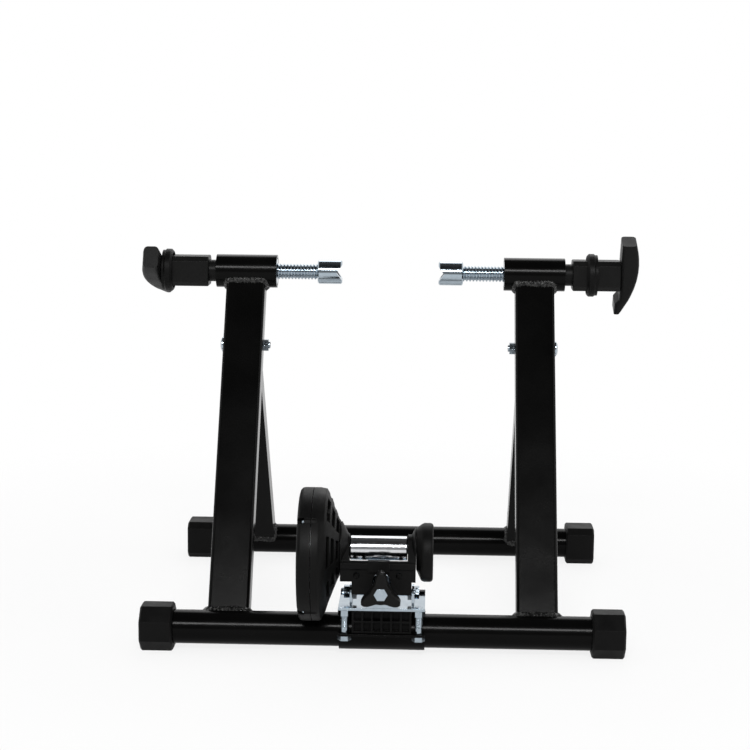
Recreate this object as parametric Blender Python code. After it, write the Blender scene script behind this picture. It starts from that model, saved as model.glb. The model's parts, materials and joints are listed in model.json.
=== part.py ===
"""Folding bike trainer: an A-frame stand with two axle clamps and a magnetic roller brake.

Sizes are in metres and Z is up. X runs along the two floor bars and -Y faces the brake's knob.
The origin lies on the floor, at the centre of the whole trainer's box.
"""

import math

import bmesh
import bpy
from mathutils import Matrix, Vector

# Clearance between pieces that seat on each other
GAP = 0.0003

# Floor bars and their end feet
BAR_DIAMETER = 0.038
BAR_WALL = 0.0015
BAR_SPACING = 0.425
FOOT_SPAN = 0.543
FOOT_LENGTH = 0.037
FOOT_END_WALL = 0.003
FOOT_EDGE = 0.002
FRONT_FOOT_WIDTH = 0.051
FRONT_FOOT_CHAMFER = 0.0145
REAR_FOOT_WIDTH = 0.048
REAR_FOOT_CHAMFER = 0.0075

# Uprights, welded on the front bar and leaning back to the clamp sleeves
AXLE_HEIGHT = 0.405
AXLE_SETBACK = 0.232
UPRIGHT_INNER_X = 0.151
UPRIGHT_WIDTH = 0.047
UPRIGHT_DEPTH = 0.030
UPRIGHT_WALL = 0.002
UPRIGHT_CORNER = 0.004
UPRIGHT_FOOT_OFFSET = 0.0143
UPRIGHT_HEAD_OFFSET = 0.0045
UPRIGHT_TOE = 0.003

# Rear legs, nested in the uprights and pivoted on bolts
PIVOT_BELOW_AXLE = 0.095
LEG_WIDTH = 0.038
LEG_DEPTH = 0.025
LEG_WALL = 0.0015
LEG_CORNER = 0.003
LEG_BUSH_DIAMETER = 0.012

# Metric bolts of the frame
BOLT_DIAMETER = 0.008
BOLT_CLEARANCE = 0.0003
HEX_ACROSS_FLATS = 0.013
HEX_HEAD_HEIGHT = 0.0053
NUT_HEIGHT = 0.0065
LOW_HEAD_HEIGHT = 0.0035
LOW_HEAD_DIAMETER = 0.018
BOLT_END_LENGTH = 0.002

# Clamp sleeves and the threaded bush in each
SLEEVE_DIAMETER = 0.040
SLEEVE_BORE = 0.033
SLEEVE_INNER_X = 0.1375
SLEEVE_LENGTH = 0.0735
BUSH_LENGTH = 0.022

# Clamp screws
ROD_DIAMETER = 0.019
SPIGOT_DIAMETER = 0.012
CUP_FACE_X = 0.0585
CUP_LENGTH = 0.0295
CUP_DIAMETER = 0.029
CUP_RECESS_DIAMETER = 0.015
CUP_RECESS_DEPTH = 0.013
CUP_GROOVE_WIDTH = 0.018
CUP_GROOVE_DEPTH = 0.0065
CUP_EDGE = 0.0015
NECK_DIAMETER = 0.0265
NECK_IN_SLEEVE = 0.008
BARREL_GAP = 0.009
BARREL_WIDTH = 0.036
BARREL_FLAT = 0.025
BARREL_LENGTH = 0.057
BARREL_EDGE = 0.001
ROD_END_MARGIN = 0.006

# Wing handles
HANDLE_LENGTH = 0.0925
HANDLE_MIDDLE_REACH = 0.020
HANDLE_THICK_REACH = 0.0175
HANDLE_THIN_REACH = 0.0015
HANDLE_SWEEP = 0.005
HANDLE_SWEEP_RUN = 0.006
HANDLE_WIDTH = 0.033
HANDLE_TIP_WIDTH = 0.027
HANDLE_EDGE = 0.0045
LEFT_HANDLE_ANGLE = math.radians(65)
RIGHT_HANDLE_ANGLE = math.radians(22)

# Lock rings on the clamp barrels
RING_DIAMETER = 0.052
RING_FLANGE = 0.0095
RING_HUB = 0.003
RING_HUB_DIAMETER = 0.0492
RING_CHAMFER = 0.0025
RING_CLEARANCE = 0.0004
LEFT_RING_INSET = 0.0005
RIGHT_RING_INSET = 0.027

# Brake unit: pivot, adjusting bolt and roller shaft, set out from the front bar's axis
TILT_FORWARD = 0.012
TILT_HEIGHT = 0.073
ADJUST_ARM = 0.015
SHAFT_FORWARD = 0.020
SHAFT_HEIGHT = 0.125
SHAFT_DIAMETER = 0.008
ROLLER_DIAMETER = 0.027
ROLLER_LEFT_X = -0.0354
ROLLER_RIGHT_X = 0.0276
ROLLER_CHAMFER = 0.001

# Yoke that carries the shaft
ARM_GAP = 0.0007
LEFT_ARM_THICKNESS = 0.0096
RIGHT_ARM_THICKNESS = 0.009
ARM_BOSS_RADIUS = 0.0158
LEFT_COLLAR_RADIUS = 0.029
RIGHT_COLLAR_RADIUS = 0.023
RIGHT_COLLAR_LENGTH = 0.0045
FRONT_WALL_FORWARD = 0.047
FRONT_WALL_THICKNESS = 0.004
FRONT_WALL_BOTTOM = 0.079
ARM_BOTTOM = 0.0935
FRONT_WALL_TOP = 0.1165
RIDGE_HEIGHT = 0.0098
RIDGE_THICKNESS = 0.0025
RIDGE_CENTRE_LEFT = -0.015
RIDGE_CENTRE_RIGHT = 0.0085
RIDGE_CENTRE_RISE = 0.0012
WALL_NOTCH_RADIUS = 0.010
WALL_NOTCH_TOP = 0.104
LUG_THICKNESS = 0.0042
LUG_RADIUS = 0.0085
NUT_LUG_INNER_X = 0.0185
NUT_LUG_THICKNESS = 0.004
NUT_LUG_RADIUS = 0.009
RIDGE_ROUNDING_SHARE = 0.8
SCREW_CROWN_SHARE = 0.55
SCREW_SHOULDER_SHARE = 0.9
SCREW_SHOULDER_RISE_SHARE = 0.6
YOKE_SCREW_HEAD_DIAMETER = 0.0072
YOKE_SCREW_HEAD_HEIGHT = 0.0028
YOKE_SCREW_DIAMETER = 0.004
YOKE_SCREW_LENGTH = 0.009
YOKE_SCREW_HEIGHT = 0.101
YOKE_SCREW_X = (-0.0276, 0.0193)

# Bearings in the yoke's arms
BEARING_DIAMETER = 0.022
BEARING_WIDTH = 0.007
BEARING_RACE = 0.003
BEARING_SHOULDER = 0.0015

# Brake housing: rim disc, set lower than the shaft, and vented cone
RIM_RADIUS = 0.0737
RIM_DROP = 0.0076
HOUSING_OUTER_X = -0.0913
HOUSING_SEAM_X = -0.076
RIM_ROUNDING = 0.005
HOUSING_WALL = 0.0022
FACE_STEP_RADIUS = 0.052
FACE_STEP_DEPTH = 0.0015
VENT_SECTOR_COUNT = 7
SLOT_CELL_COUNT = 4
RIB_CELL_COUNT = 2
RIM_CELL_COUNT = VENT_SECTOR_COUNT * (SLOT_CELL_COUNT + RIB_CELL_COUNT)
VENT_PHASE = math.radians(-8.5)
HOUSING_SHAFT_HOLE = 0.0125
# Cone from seam to neck: share of the depth, share of the rim's drop left,
# share of the radius left, and whether a band of vents follows
CONE_OUTLINE = (
    (0.000, 1.00, 1.000, False),
    (0.230, 1.00, 1.000, False),
    (0.310, 0.95, 0.980, False),
    (0.465, 0.36, 0.865, False),
    (0.545, 0.11, 0.730, True),
    (0.650, 0.00, 0.570, False),
    (0.705, 0.00, 0.470, True),
    (0.810, 0.00, 0.290, False),
    (0.865, 0.00, 0.195, True),
    (0.970, 0.00, 0.045, False),
    (1.000, 0.00, 0.000, False),
)
POST_BAND = 5
BOSS_TIP_SHARE = 0.6
BOSS_LENGTH_SHARE = 1.5
SCREW_BOSS_RADIUS = 0.0045
SCREW_BOSS_INSET = 0.003
SCREW_BOSS_ANGLES = (43, 133, -47, -137)
HOUSING_SCREW_HEAD_DIAMETER = 0.006
HOUSING_SCREW_DIAMETER = 0.003

# Rotor and magnets inside the housing
FLYWHEEL_RADIUS = 0.058
FLYWHEEL_THICKNESS = 0.007
FLYWHEEL_RIM_WIDTH = 0.014
FLYWHEEL_HUB_RADIUS = 0.012
FLYWHEEL_WEB = 0.003
DISC_RADIUS = 0.057
DISC_THICKNESS = 0.0022
AIR_GAP = 0.0012
CARRIER_RADIUS = 0.055
CARRIER_BORE_RADIUS = 0.030
CARRIER_THICKNESS = 0.003
POST_COUNT = 3
POST_RADIUS = 0.0035
MAGNET_COUNT = 8
MAGNET_DIAMETER = 0.014
MAGNET_THICKNESS = 0.0035
MAGNET_CIRCLE_RADIUS = 0.0435

# Balance wheel and its cover at the right end of the shaft
DRUM_RADIUS = 0.0325
DRUM_DROP = 0.0039
DRUM_RIGHT_X = 0.0562
DRUM_WALL = 0.002
DRUM_ROUNDING = 0.003
DRUM_SLOPE = 0.0055
BALANCE_RADIUS = 0.0242
BALANCE_THICKNESS = 0.008
BALANCE_CLEARANCE = 0.001
SHAFT_NUT_HEIGHT = 0.0045

# Bracket that holds the yoke's pivot over the front bar
EAR_OUTER_X = 0.0357
EAR_THICKNESS = 0.0025
EAR_RADIUS = 0.009
EAR_FOOT_FRONT = 0.0215
EAR_FOOT_BACK = 0.012
LUG_SIDE_GAP = 0.0005
BASE_HALF_WIDTH = 0.048
BASE_THICKNESS = 0.003
TAB_HALF_WIDTH = 0.017
TAB_THICKNESS = 0.003
TAB_FORWARD = 0.036
TAB_TOP_RADIUS = 0.010
TAB_HOLE_CLEARANCE = 0.0005

# Saddle block and strap that clamp the bracket on the bar
SADDLE_HALF_WIDTH = 0.033
SADDLE_FRONT = 0.0325
SADDLE_TOP = 0.0572
SADDLE_BOTTOM = 0.0308
SADDLE_POCKET_DEPTH = 0.006
SADDLE_COLUMN_COUNT = 6
SADDLE_ROW_COUNT = 2
SADDLE_RIB = 0.0022
STRAP_THICKNESS = 0.0025
STRAP_FLANGE_REACH = 0.0365
CLAMP_BOLT_X = 0.041
CLAMP_BOLT_FORWARD = 0.029
STRAP_LIP = 0.005

# Adjusting knob, its bolt, spring and swivel nut
KNOB_FRONT = 0.080
KNOB_THICKNESS = 0.018
KNOB_TIP_RADIUS = 0.0245
KNOB_VALLEY_RADIUS = 0.012
KNOB_LOBE_SHARPNESS = 2.7
KNOB_EDGE = 0.003
KNOB_HEAD_RECESS = 0.004
ADJUST_BOLT_END = 0.003
SPRING_WIRE = 0.0016
SPRING_RADIUS = 0.0066
SPRING_TURN_COUNT = 6
SPRING_POINT_COUNT = 10
SWIVEL_DIAMETER = 0.012
SWIVEL_CLEARANCE = 0.0004
SWIVEL_BORE_CLEARANCE = 0.0006

# Smoothness of turned pieces
FINE = 28
MEDIUM = 24
COARSE = 16
SMALL = 10
SMOOTH_ANGLE = math.radians(35)
CORNER_STEP_COUNT = 3
TAB_CORNER_STEP_COUNT = 5
HANDLE_STATION_COUNT = 14
GUIDE_SIZE = 0.02
MILLIMETRE = 0.001
POINT_DIGITS = 7

WORDS = ("left", "right")
SIDES = tuple(zip(WORDS, (-1, 1)))

# Places worked out from the sizes above
FRONT_REACH = max(SHAFT_FORWARD + RIM_RADIUS, KNOB_FRONT)
FRONT_Y = (FRONT_REACH - BAR_SPACING - REAR_FOOT_WIDTH / 2) / 2
REAR_Y = FRONT_Y + BAR_SPACING
BAR_RADIUS = BAR_DIAMETER / 2
FRONT_BAR_Z = FRONT_FOOT_WIDTH / 2
REAR_BAR_Z = REAR_FOOT_WIDTH / 2
BAR_HALF_LENGTH = FOOT_SPAN / 2 - FOOT_END_WALL - GAP
AXLE_Y = FRONT_Y + AXLE_SETBACK
SLEEVE_OUTER_X = SLEEVE_INNER_X + SLEEVE_LENGTH
BARREL_INNER_X = SLEEVE_OUTER_X + BARREL_GAP
BARREL_OUTER_X = BARREL_INNER_X + BARREL_LENGTH
HANDLE_INNER_X = BARREL_OUTER_X + GAP
CUP_BACK_X = CUP_FACE_X + CUP_LENGTH
UPRIGHT_MID_X = UPRIGHT_INNER_X + UPRIGHT_WIDTH / 2
BOLT_RADIUS = BOLT_DIAMETER / 2
BOLT_HOLE_RADIUS = BOLT_RADIUS + BOLT_CLEARANCE

TILT_Y = FRONT_Y - TILT_FORWARD
ADJUST_Z = TILT_HEIGHT + ADJUST_ARM
SHAFT_Y = FRONT_Y - SHAFT_FORWARD
SHAFT_RADIUS = SHAFT_DIAMETER / 2
RIM_Z = SHAFT_HEIGHT - RIM_DROP
LEFT_ARM_RIGHT_X = ROLLER_LEFT_X - ARM_GAP
LEFT_ARM_LEFT_X = LEFT_ARM_RIGHT_X - LEFT_ARM_THICKNESS
RIGHT_ARM_LEFT_X = ROLLER_RIGHT_X + ARM_GAP
RIGHT_ARM_RIGHT_X = RIGHT_ARM_LEFT_X + RIGHT_ARM_THICKNESS
WALL_FRONT_Y = FRONT_Y - FRONT_WALL_FORWARD
WALL_BACK_Y = WALL_FRONT_Y + FRONT_WALL_THICKNESS
EAR_INNER_X = EAR_OUTER_X - EAR_THICKNESS
LUG_OUTER_X = EAR_INNER_X - LUG_SIDE_GAP
LUG_INNER_X = LUG_OUTER_X - LUG_THICKNESS
BASE_BOTTOM = SADDLE_TOP + GAP
BASE_TOP = BASE_BOTTOM + BASE_THICKNESS
TAB_FRONT_Y = FRONT_Y - TAB_FORWARD
TAB_BACK_Y = TAB_FRONT_Y + TAB_THICKNESS
KNOB_FRONT_Y = FRONT_Y - KNOB_FRONT
KNOB_BACK_Y = KNOB_FRONT_Y + KNOB_THICKNESS


def clear_scene():
    """Remove every object that the file holds."""
    for item in list(bpy.data.objects):
        bpy.data.objects.remove(item, do_unlink=True)


def make_material(name, color, roughness, metallic):
    """One Principled material with a colour, roughness and metallic value."""
    material = bpy.data.materials.new(name)
    material.use_nodes = True
    shader = material.node_tree.nodes["Principled BSDF"]
    shader.inputs["Base Color"].default_value = (*color, 1.0)
    shader.inputs["Roughness"].default_value = roughness
    shader.inputs["Metallic"].default_value = metallic
    return material


PAINT = ((0.012, 0.013, 0.015), 0.22, 0.0)
PLASTIC = ((0.020, 0.021, 0.023), 0.48, 0.0)
HANDLE_PLASTIC = ((0.017, 0.018, 0.020), 0.38, 0.0)
ZINC = ((0.62, 0.66, 0.70), 0.30, 1.0)
CHROME = ((0.80, 0.81, 0.83), 0.08, 1.0)
STEEL = ((0.46, 0.47, 0.49), 0.34, 1.0)
ALUMINIUM = ((0.78, 0.79, 0.80), 0.36, 1.0)
MAGNET = ((0.28, 0.28, 0.30), 0.42, 1.0)
NYLON = ((0.72, 0.72, 0.69), 0.50, 0.0)
SPRING_STEEL = ((0.40, 0.41, 0.43), 0.28, 1.0)


def make_empty(name, place):
    """A guide that holds a joint's place."""
    empty = bpy.data.objects.new(name, None)
    empty.location = place
    empty.empty_display_size = GUIDE_SIZE
    bpy.context.collection.objects.link(empty)
    return empty


def make_object(name, mesh_data, finish=None, holder=None):
    """Link a bmesh as an object, with its origin on its holder's place."""
    bmesh.ops.recalc_face_normals(mesh_data, faces=mesh_data.faces)
    mesh = bpy.data.meshes.new(name)
    mesh_data.to_mesh(mesh)
    mesh_data.free()
    item = bpy.data.objects.new(name, mesh)
    bpy.context.collection.objects.link(item)
    if finish:
        finish_object(item, finish, holder)
    return item


def finish_object(item, finish, holder=None):
    """Give an object its material, its smoothing and its place under its holder."""
    mesh = item.data
    mesh.materials.clear()
    mesh.materials.append(make_material(item.name, *finish))
    mesh.shade_smooth()
    mesh.set_sharp_from_angle(angle=SMOOTH_ANGLE)
    if holder:
        mesh.transform(Matrix.Translation(-holder.location))
        item.parent = holder


def combine(item, other, operation):
    """Join or cut an object with another one, which is used up."""
    modifier = item.modifiers.new(operation.title(), "BOOLEAN")
    modifier.operation = operation
    modifier.object = other
    modifier.solver = "EXACT"
    bpy.context.view_layer.update()
    graph = bpy.context.evaluated_depsgraph_get()
    result = bpy.data.meshes.new_from_object(item.evaluated_get(graph))
    item.modifiers.clear()
    item.data = result
    bpy.data.objects.remove(other, do_unlink=True)
    return item


def cut(item, *cutters):
    """Cut each cutter from the object."""
    for cutter in cutters:
        combine(item, cutter, "DIFFERENCE")
    return item


def join(item, *others):
    """Fuse each other object with the object."""
    for other in others:
        combine(item, other, "UNION")
    return item


def loft(mesh_data, sections, ring=False):
    """Skin a row of outlines with equal point counts, and close it with caps or as a ring."""
    rows = [[mesh_data.verts.new(point) for point in section] for section in sections]
    pairs = list(zip(rows, rows[1:]))
    if ring:
        pairs.append((rows[-1], rows[0]))
    for first, second in pairs:
        count = max(len(first), len(second))
        for index in range(count):
            following = (index + 1) % count
            corners = []
            for row, place in ((first, index), (first, following), (second, following), (second, index)):
                vertex = row[0] if len(row) == 1 else row[place]
                if vertex not in corners:
                    corners.append(vertex)
            mesh_data.faces.new(corners)
    if not ring:
        for row in (rows[0], rows[-1]):
            if len(row) > 2:
                mesh_data.faces.new(row)
    return mesh_data


def circle(radius, count):
    """Points of a circle in its own plane."""
    if radius == 0:
        return [(0.0, 0.0)]
    steps = [2 * math.pi * index / count for index in range(count)]
    return [(radius * math.cos(step), radius * math.sin(step)) for step in steps]


def turned(profile, place, count, ring=False, side=1):
    """Solid turned about X through a place in Y and Z, from pairs of X and radius."""
    sections = []
    for x, radius in profile:
        points = circle(radius, count)
        sections.append([Vector((side * x, place[0] + y, place[1] + z)) for y, z in points])
    return loft(bmesh.new(), sections, ring)


def tube_profile(start, end, outer, bore, chamfer=0.0):
    """Ring profile of a tube with chamfered outer edges."""
    if chamfer:
        outside = [(start, outer - chamfer), (start + chamfer, outer),
                   (end - chamfer, outer), (end, outer - chamfer)]
    else:
        outside = [(start, outer), (end, outer)]
    return outside + [(end, bore), (start, bore)]


def rod_x(start, end, radius, place, count=SMALL, side=1):
    """Plain round bar along X, as an object for joining or cutting."""
    return make_object("rod", turned([(start, radius), (end, radius)], place, count, side=side))


def rod_y(start, end, radius, place, count=SMALL):
    """Plain round bar along Y through a place in X and Z."""
    sections = []
    for y in (start, end):
        sections.append([Vector((place[0] + a, y, place[1] + b)) for a, b in circle(radius, count)])
    return make_object("rod", loft(bmesh.new(), sections))


def rod_z(start, end, radius, place, count=SMALL):
    """Plain round bar along Z through a place in X and Y."""
    sections = []
    for z in (start, end):
        sections.append([Vector((place[0] + a, place[1] + b, z)) for a, b in circle(radius, count)])
    return make_object("rod", loft(bmesh.new(), sections))


def prism_x(outline, start, end):
    """Outline in Y and Z, extruded along X."""
    sections = [[Vector((x, y, z)) for y, z in outline] for x in (start, end)]
    return loft(bmesh.new(), sections)


def prism_y(outline, start, end):
    """Outline in X and Z, extruded along Y."""
    sections = [[Vector((x, y, z)) for x, z in outline] for y in (start, end)]
    return loft(bmesh.new(), sections)


def prism_z(outline, start, end):
    """Outline in X and Y, extruded along Z."""
    sections = [[Vector((x, y, z)) for x, y in outline] for z in (start, end)]
    return loft(bmesh.new(), sections)


def block(low, high):
    """Plain box between two corners, as an object for joining or cutting."""
    outline = [(low[0], low[1]), (high[0], low[1]), (high[0], high[1]), (low[0], high[1])]
    return make_object("block", prism_z(outline, low[2], high[2]))


def arc(centre, radius, start, end, count):
    """Points of an arc, with its angles in degrees."""
    points = []
    for index in range(count + 1):
        angle = math.radians(start + (end - start) * index / count)
        points.append((centre[0] + radius * math.cos(angle), centre[1] + radius * math.sin(angle)))
    return points


def rounded_rectangle(low, high, radius):
    """Rectangle between two corners with round corners."""
    points = []
    corners = ((high[0], high[1], 0), (low[0], high[1], 90), (low[0], low[1], 180), (high[0], low[1], 270))
    for x, y, start in corners:
        centre = (x - math.copysign(radius, x - (low[0] + high[0]) / 2),
                  y - math.copysign(radius, y - (low[1] + high[1]) / 2))
        points += arc(centre, radius, start, start + 90, CORNER_STEP_COUNT)
    return points


def chamfered_square(width, chamfer):
    """Outline of a square with its corners cut, centred on zero."""
    half = width / 2
    inner = half - chamfer
    return [(half, -inner), (half, inner), (inner, half), (-inner, half),
            (-half, inner), (-half, -inner), (-inner, -half), (inner, -half)]


def hexagon(across_flats):
    """Outline of a hexagon, centred on zero."""
    return circle(across_flats / math.sqrt(3), 6)


def hull(points):
    """Convex outline round a set of points."""
    ordered = sorted(set((round(a, POINT_DIGITS), round(b, POINT_DIGITS)) for a, b in points))

    def half_hull(row):
        chain = []
        for point in row:
            while len(chain) > 1:
                (ax, ay), (bx, by) = chain[-2], chain[-1]
                if (bx - ax) * (point[1] - ay) - (by - ay) * (point[0] - ax) > 0:
                    break
                chain.pop()
            chain.append(point)
        return chain[:-1]

    return half_hull(ordered) + half_hull(ordered[::-1])


def moved(outline, place):
    """Outline shifted to a place."""
    return [(a + place[0], b + place[1]) for a, b in outline]


def hex_x(start, end, place, side=1):
    """Hexagonal bar along X."""
    outline = moved(hexagon(HEX_ACROSS_FLATS), place)
    low, high = sorted((side * start, side * end))
    return make_object("hex", prism_x(outline, low, high))


def rotate_about(item, centre, axis, angle):
    """Turn an object's mesh about an axis through a centre."""
    turn = Matrix.Rotation(angle, 4, axis)
    item.data.transform(Matrix.Translation(centre) @ turn @ Matrix.Translation(-Vector(centre)))
    return item


def named(item, name, finish, holder=None):
    """Name a built object and finish it."""
    item.name = name
    item.data.name = name
    finish_object(item, finish, holder)
    return item


# Frame tubes


def make_bar(name, place, holder=None):
    """Floor bar, a round tube whose ends stand in the feet."""
    profile = tube_profile(-BAR_HALF_LENGTH, BAR_HALF_LENGTH, BAR_RADIUS, BAR_RADIUS - BAR_WALL)
    return make_object(name, turned(profile, place, FINE, ring=True), PAINT, holder)


def make_foot(name, side, place, width, chamfer, holder=None):
    """Moulded foot that slips over a bar's end, with flats to stand on."""
    end = FOOT_SPAN / 2
    start = end - FOOT_LENGTH
    stations = ((start, -FOOT_EDGE), (start + FOOT_EDGE, 0), (end - FOOT_EDGE, 0), (end, -FOOT_EDGE))
    sections = []
    for x, grow in stations:
        outline = chamfered_square(width + 2 * grow, chamfer + grow * (2 - math.sqrt(2)))
        sections.append([Vector((side * x, place[0] + y, place[1] + z)) for y, z in outline])
    foot = make_object("foot", loft(bmesh.new(), sections))
    bore_end = end - FOOT_END_WALL
    bore = rod_x(start - FOOT_EDGE, bore_end, BAR_RADIUS + GAP, place, FINE, side)
    return named(cut(foot, bore), name, PLASTIC, holder)


def upright_line():
    """Foot and head of the uprights' centre line in Y and Z, and its direction."""
    foot = Vector((0, FRONT_Y, FRONT_BAR_Z))
    head = Vector((0, AXLE_Y, AXLE_HEIGHT))
    back = (head - foot).cross(Vector((1, 0, 0))).normalized()
    if back.y < 0:
        back = -back
    foot = foot + back * UPRIGHT_FOOT_OFFSET
    head = head + back * UPRIGHT_HEAD_OFFSET
    return foot, head, (head - foot).normalized()


def leaning(origin, along):
    """Matrix from a frame whose Z runs along a leaning tube, and whose Y faces back or up."""
    depth = along.cross(Vector((1, 0, 0))).normalized()
    if depth.y < 0:
        depth = -depth
    width = depth.cross(along)
    matrix = Matrix((width, depth, along)).transposed().to_4x4()
    matrix.translation = origin
    return matrix


UPRIGHT_FOOT, UPRIGHT_HEAD, UPRIGHT_DIRECTION = upright_line()
LEG_PIVOT = UPRIGHT_HEAD - UPRIGHT_DIRECTION * PIVOT_BELOW_AXLE
LEG_PIVOT_PLACE = (LEG_PIVOT.y, LEG_PIVOT.z)
LEG_VECTOR = Vector((0, REAR_Y, REAR_BAR_Z)) - LEG_PIVOT
LEG_DIRECTION = LEG_VECTOR.normalized()


def slot_above_pivot():
    """Height of the upright's rear slot over the pivot, where the open leg comes to its stop."""
    spread = UPRIGHT_DIRECTION.angle(-LEG_DIRECTION)
    inner_back = UPRIGHT_DEPTH / 2 - UPRIGHT_WALL
    run = (inner_back - math.cos(spread) * LEG_DEPTH / 2) / math.sin(spread)
    return math.sin(spread) * LEG_DEPTH / 2 - math.cos(spread) * run + GAP


def make_upright(name, side):
    """Rectangular tube from bar to sleeve, with its back open below the leg's pivot."""
    length = (UPRIGHT_HEAD - UPRIGHT_FOOT).length
    matrix = leaning(UPRIGHT_FOOT, UPRIGHT_DIRECTION)
    half = UPRIGHT_WIDTH / 2
    depth = UPRIGHT_DEPTH / 2
    inner = half - UPRIGHT_WALL
    inner_depth = depth - UPRIGHT_WALL
    outer_outline = rounded_rectangle((-half, -depth), (half, depth), UPRIGHT_CORNER)
    inner_outline = rounded_rectangle((-inner, -inner_depth), (inner, inner_depth),
                                      UPRIGHT_CORNER - UPRIGHT_WALL)
    upright = make_object("upright", prism_z(outer_outline, 0, length))
    bore = make_object("bore", prism_z(inner_outline, -depth, length + depth))
    slot_top = length - PIVOT_BELOW_AXLE + slot_above_pivot()
    slot = block((-inner, 0, -depth), (inner, 2 * depth, slot_top))
    cut(upright, bore, slot)
    upright.data.transform(matrix)
    upright.data.transform(Matrix.Translation((side * UPRIGHT_MID_X, 0, 0)))
    reach = UPRIGHT_MID_X + UPRIGHT_WIDTH
    start = UPRIGHT_MID_X - UPRIGHT_WIDTH
    level = FRONT_BAR_Z - UPRIGHT_TOE
    cut(upright, block((-reach, FRONT_Y - UPRIGHT_WIDTH, level - UPRIGHT_WIDTH),
                       (reach, FRONT_Y + UPRIGHT_WIDTH, level)))
    bar = rod_x(start, reach, BAR_RADIUS + GAP, (FRONT_Y, FRONT_BAR_Z), FINE, side)
    sleeve = rod_x(start, reach, SLEEVE_DIAMETER / 2 + GAP, (AXLE_Y, AXLE_HEIGHT), FINE, side)
    hole = rod_x(start, reach, BOLT_HOLE_RADIUS, LEG_PIVOT_PLACE, SMALL, side)
    return named(cut(upright, bar, sleeve, hole), name, PAINT)


def make_sleeve(name, side):
    """Round sleeve welded across the upright's head."""
    profile = tube_profile(SLEEVE_INNER_X, SLEEVE_OUTER_X, SLEEVE_DIAMETER / 2, SLEEVE_BORE / 2)
    return make_object(name, turned(profile, (AXLE_Y, AXLE_HEIGHT), FINE, ring=True, side=side), PAINT)


def make_thread_bush(name, side):
    """Bush pressed in the sleeve's inner end, in which the clamp rod turns."""
    profile = tube_profile(SLEEVE_INNER_X, SLEEVE_INNER_X + BUSH_LENGTH, SLEEVE_BORE / 2 - GAP,
                           ROD_DIAMETER / 2 + GAP, BARREL_EDGE)
    return make_object(name, turned(profile, (AXLE_Y, AXLE_HEIGHT), COARSE, ring=True, side=side), ZINC)


def make_leg(name, side, holder):
    """Rectangular rear leg with round cheeks at its pivot, coped on the rear bar."""
    length = LEG_VECTOR.length
    half = LEG_DEPTH / 2
    outline = arc((0, 0), half, 180, 0, COARSE // 2) + [(half, -length), (-half, -length)]
    solid = make_object("leg", prism_x(outline, -LEG_WIDTH / 2, LEG_WIDTH / 2))
    inner_half = LEG_WIDTH / 2 - LEG_WALL
    inner_outline = rounded_rectangle((-inner_half, -half + LEG_WALL), (inner_half, half - LEG_WALL),
                                      LEG_CORNER - LEG_WALL)
    bore = make_object("bore", prism_z(inner_outline, -length - half, LEG_DEPTH))
    cut(solid, bore)
    matrix = leaning(LEG_PIVOT, -LEG_DIRECTION)
    solid.data.transform(matrix)
    solid.data.transform(Matrix.Translation((side * UPRIGHT_MID_X, 0, 0)))
    reach = UPRIGHT_MID_X + UPRIGHT_WIDTH
    start = UPRIGHT_MID_X - UPRIGHT_WIDTH
    bar = rod_x(start, reach, BAR_RADIUS + GAP, (REAR_Y, REAR_BAR_Z), FINE, side)
    hole = rod_x(start, reach, LEG_BUSH_DIAMETER / 2 + GAP, LEG_PIVOT_PLACE, COARSE, side)
    return named(cut(solid, bar, hole), name, PAINT, holder)


def make_leg_pivots(holder):
    """Bolt, nut and spacing bush of each leg pivot."""
    inner = UPRIGHT_INNER_X
    outer = UPRIGHT_INNER_X + UPRIGHT_WIDTH
    for word, side in SIDES:
        shank = [(inner - NUT_HEIGHT - BOLT_END_LENGTH, BOLT_RADIUS), (outer + GAP, BOLT_RADIUS)]
        head = [(outer + GAP, LOW_HEAD_DIAMETER / 2), (outer + LOW_HEAD_HEIGHT / 2, LOW_HEAD_DIAMETER / 2),
                (outer + LOW_HEAD_HEIGHT, LOW_HEAD_DIAMETER / 3)]
        bolt = turned(shank + head, LEG_PIVOT_PLACE, COARSE, side=side)
        make_object(word + "_leg_bolt", bolt, ZINC)
        nut = hex_x(inner - GAP - NUT_HEIGHT, inner - GAP, LEG_PIVOT_PLACE, side=side)
        cut(nut, rod_x(0, outer, BOLT_HOLE_RADIUS, LEG_PIVOT_PLACE, COARSE, side))
        named(nut, word + "_leg_nut", ZINC)
        profile = tube_profile(inner + UPRIGHT_WALL + GAP, outer - UPRIGHT_WALL - GAP,
                               LEG_BUSH_DIAMETER / 2, BOLT_HOLE_RADIUS)
        bush = turned(profile, LEG_PIVOT_PLACE, COARSE, ring=True, side=side)
        make_object(word + "_leg_bush", bush, NYLON, holder)


# Axle clamps


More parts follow.
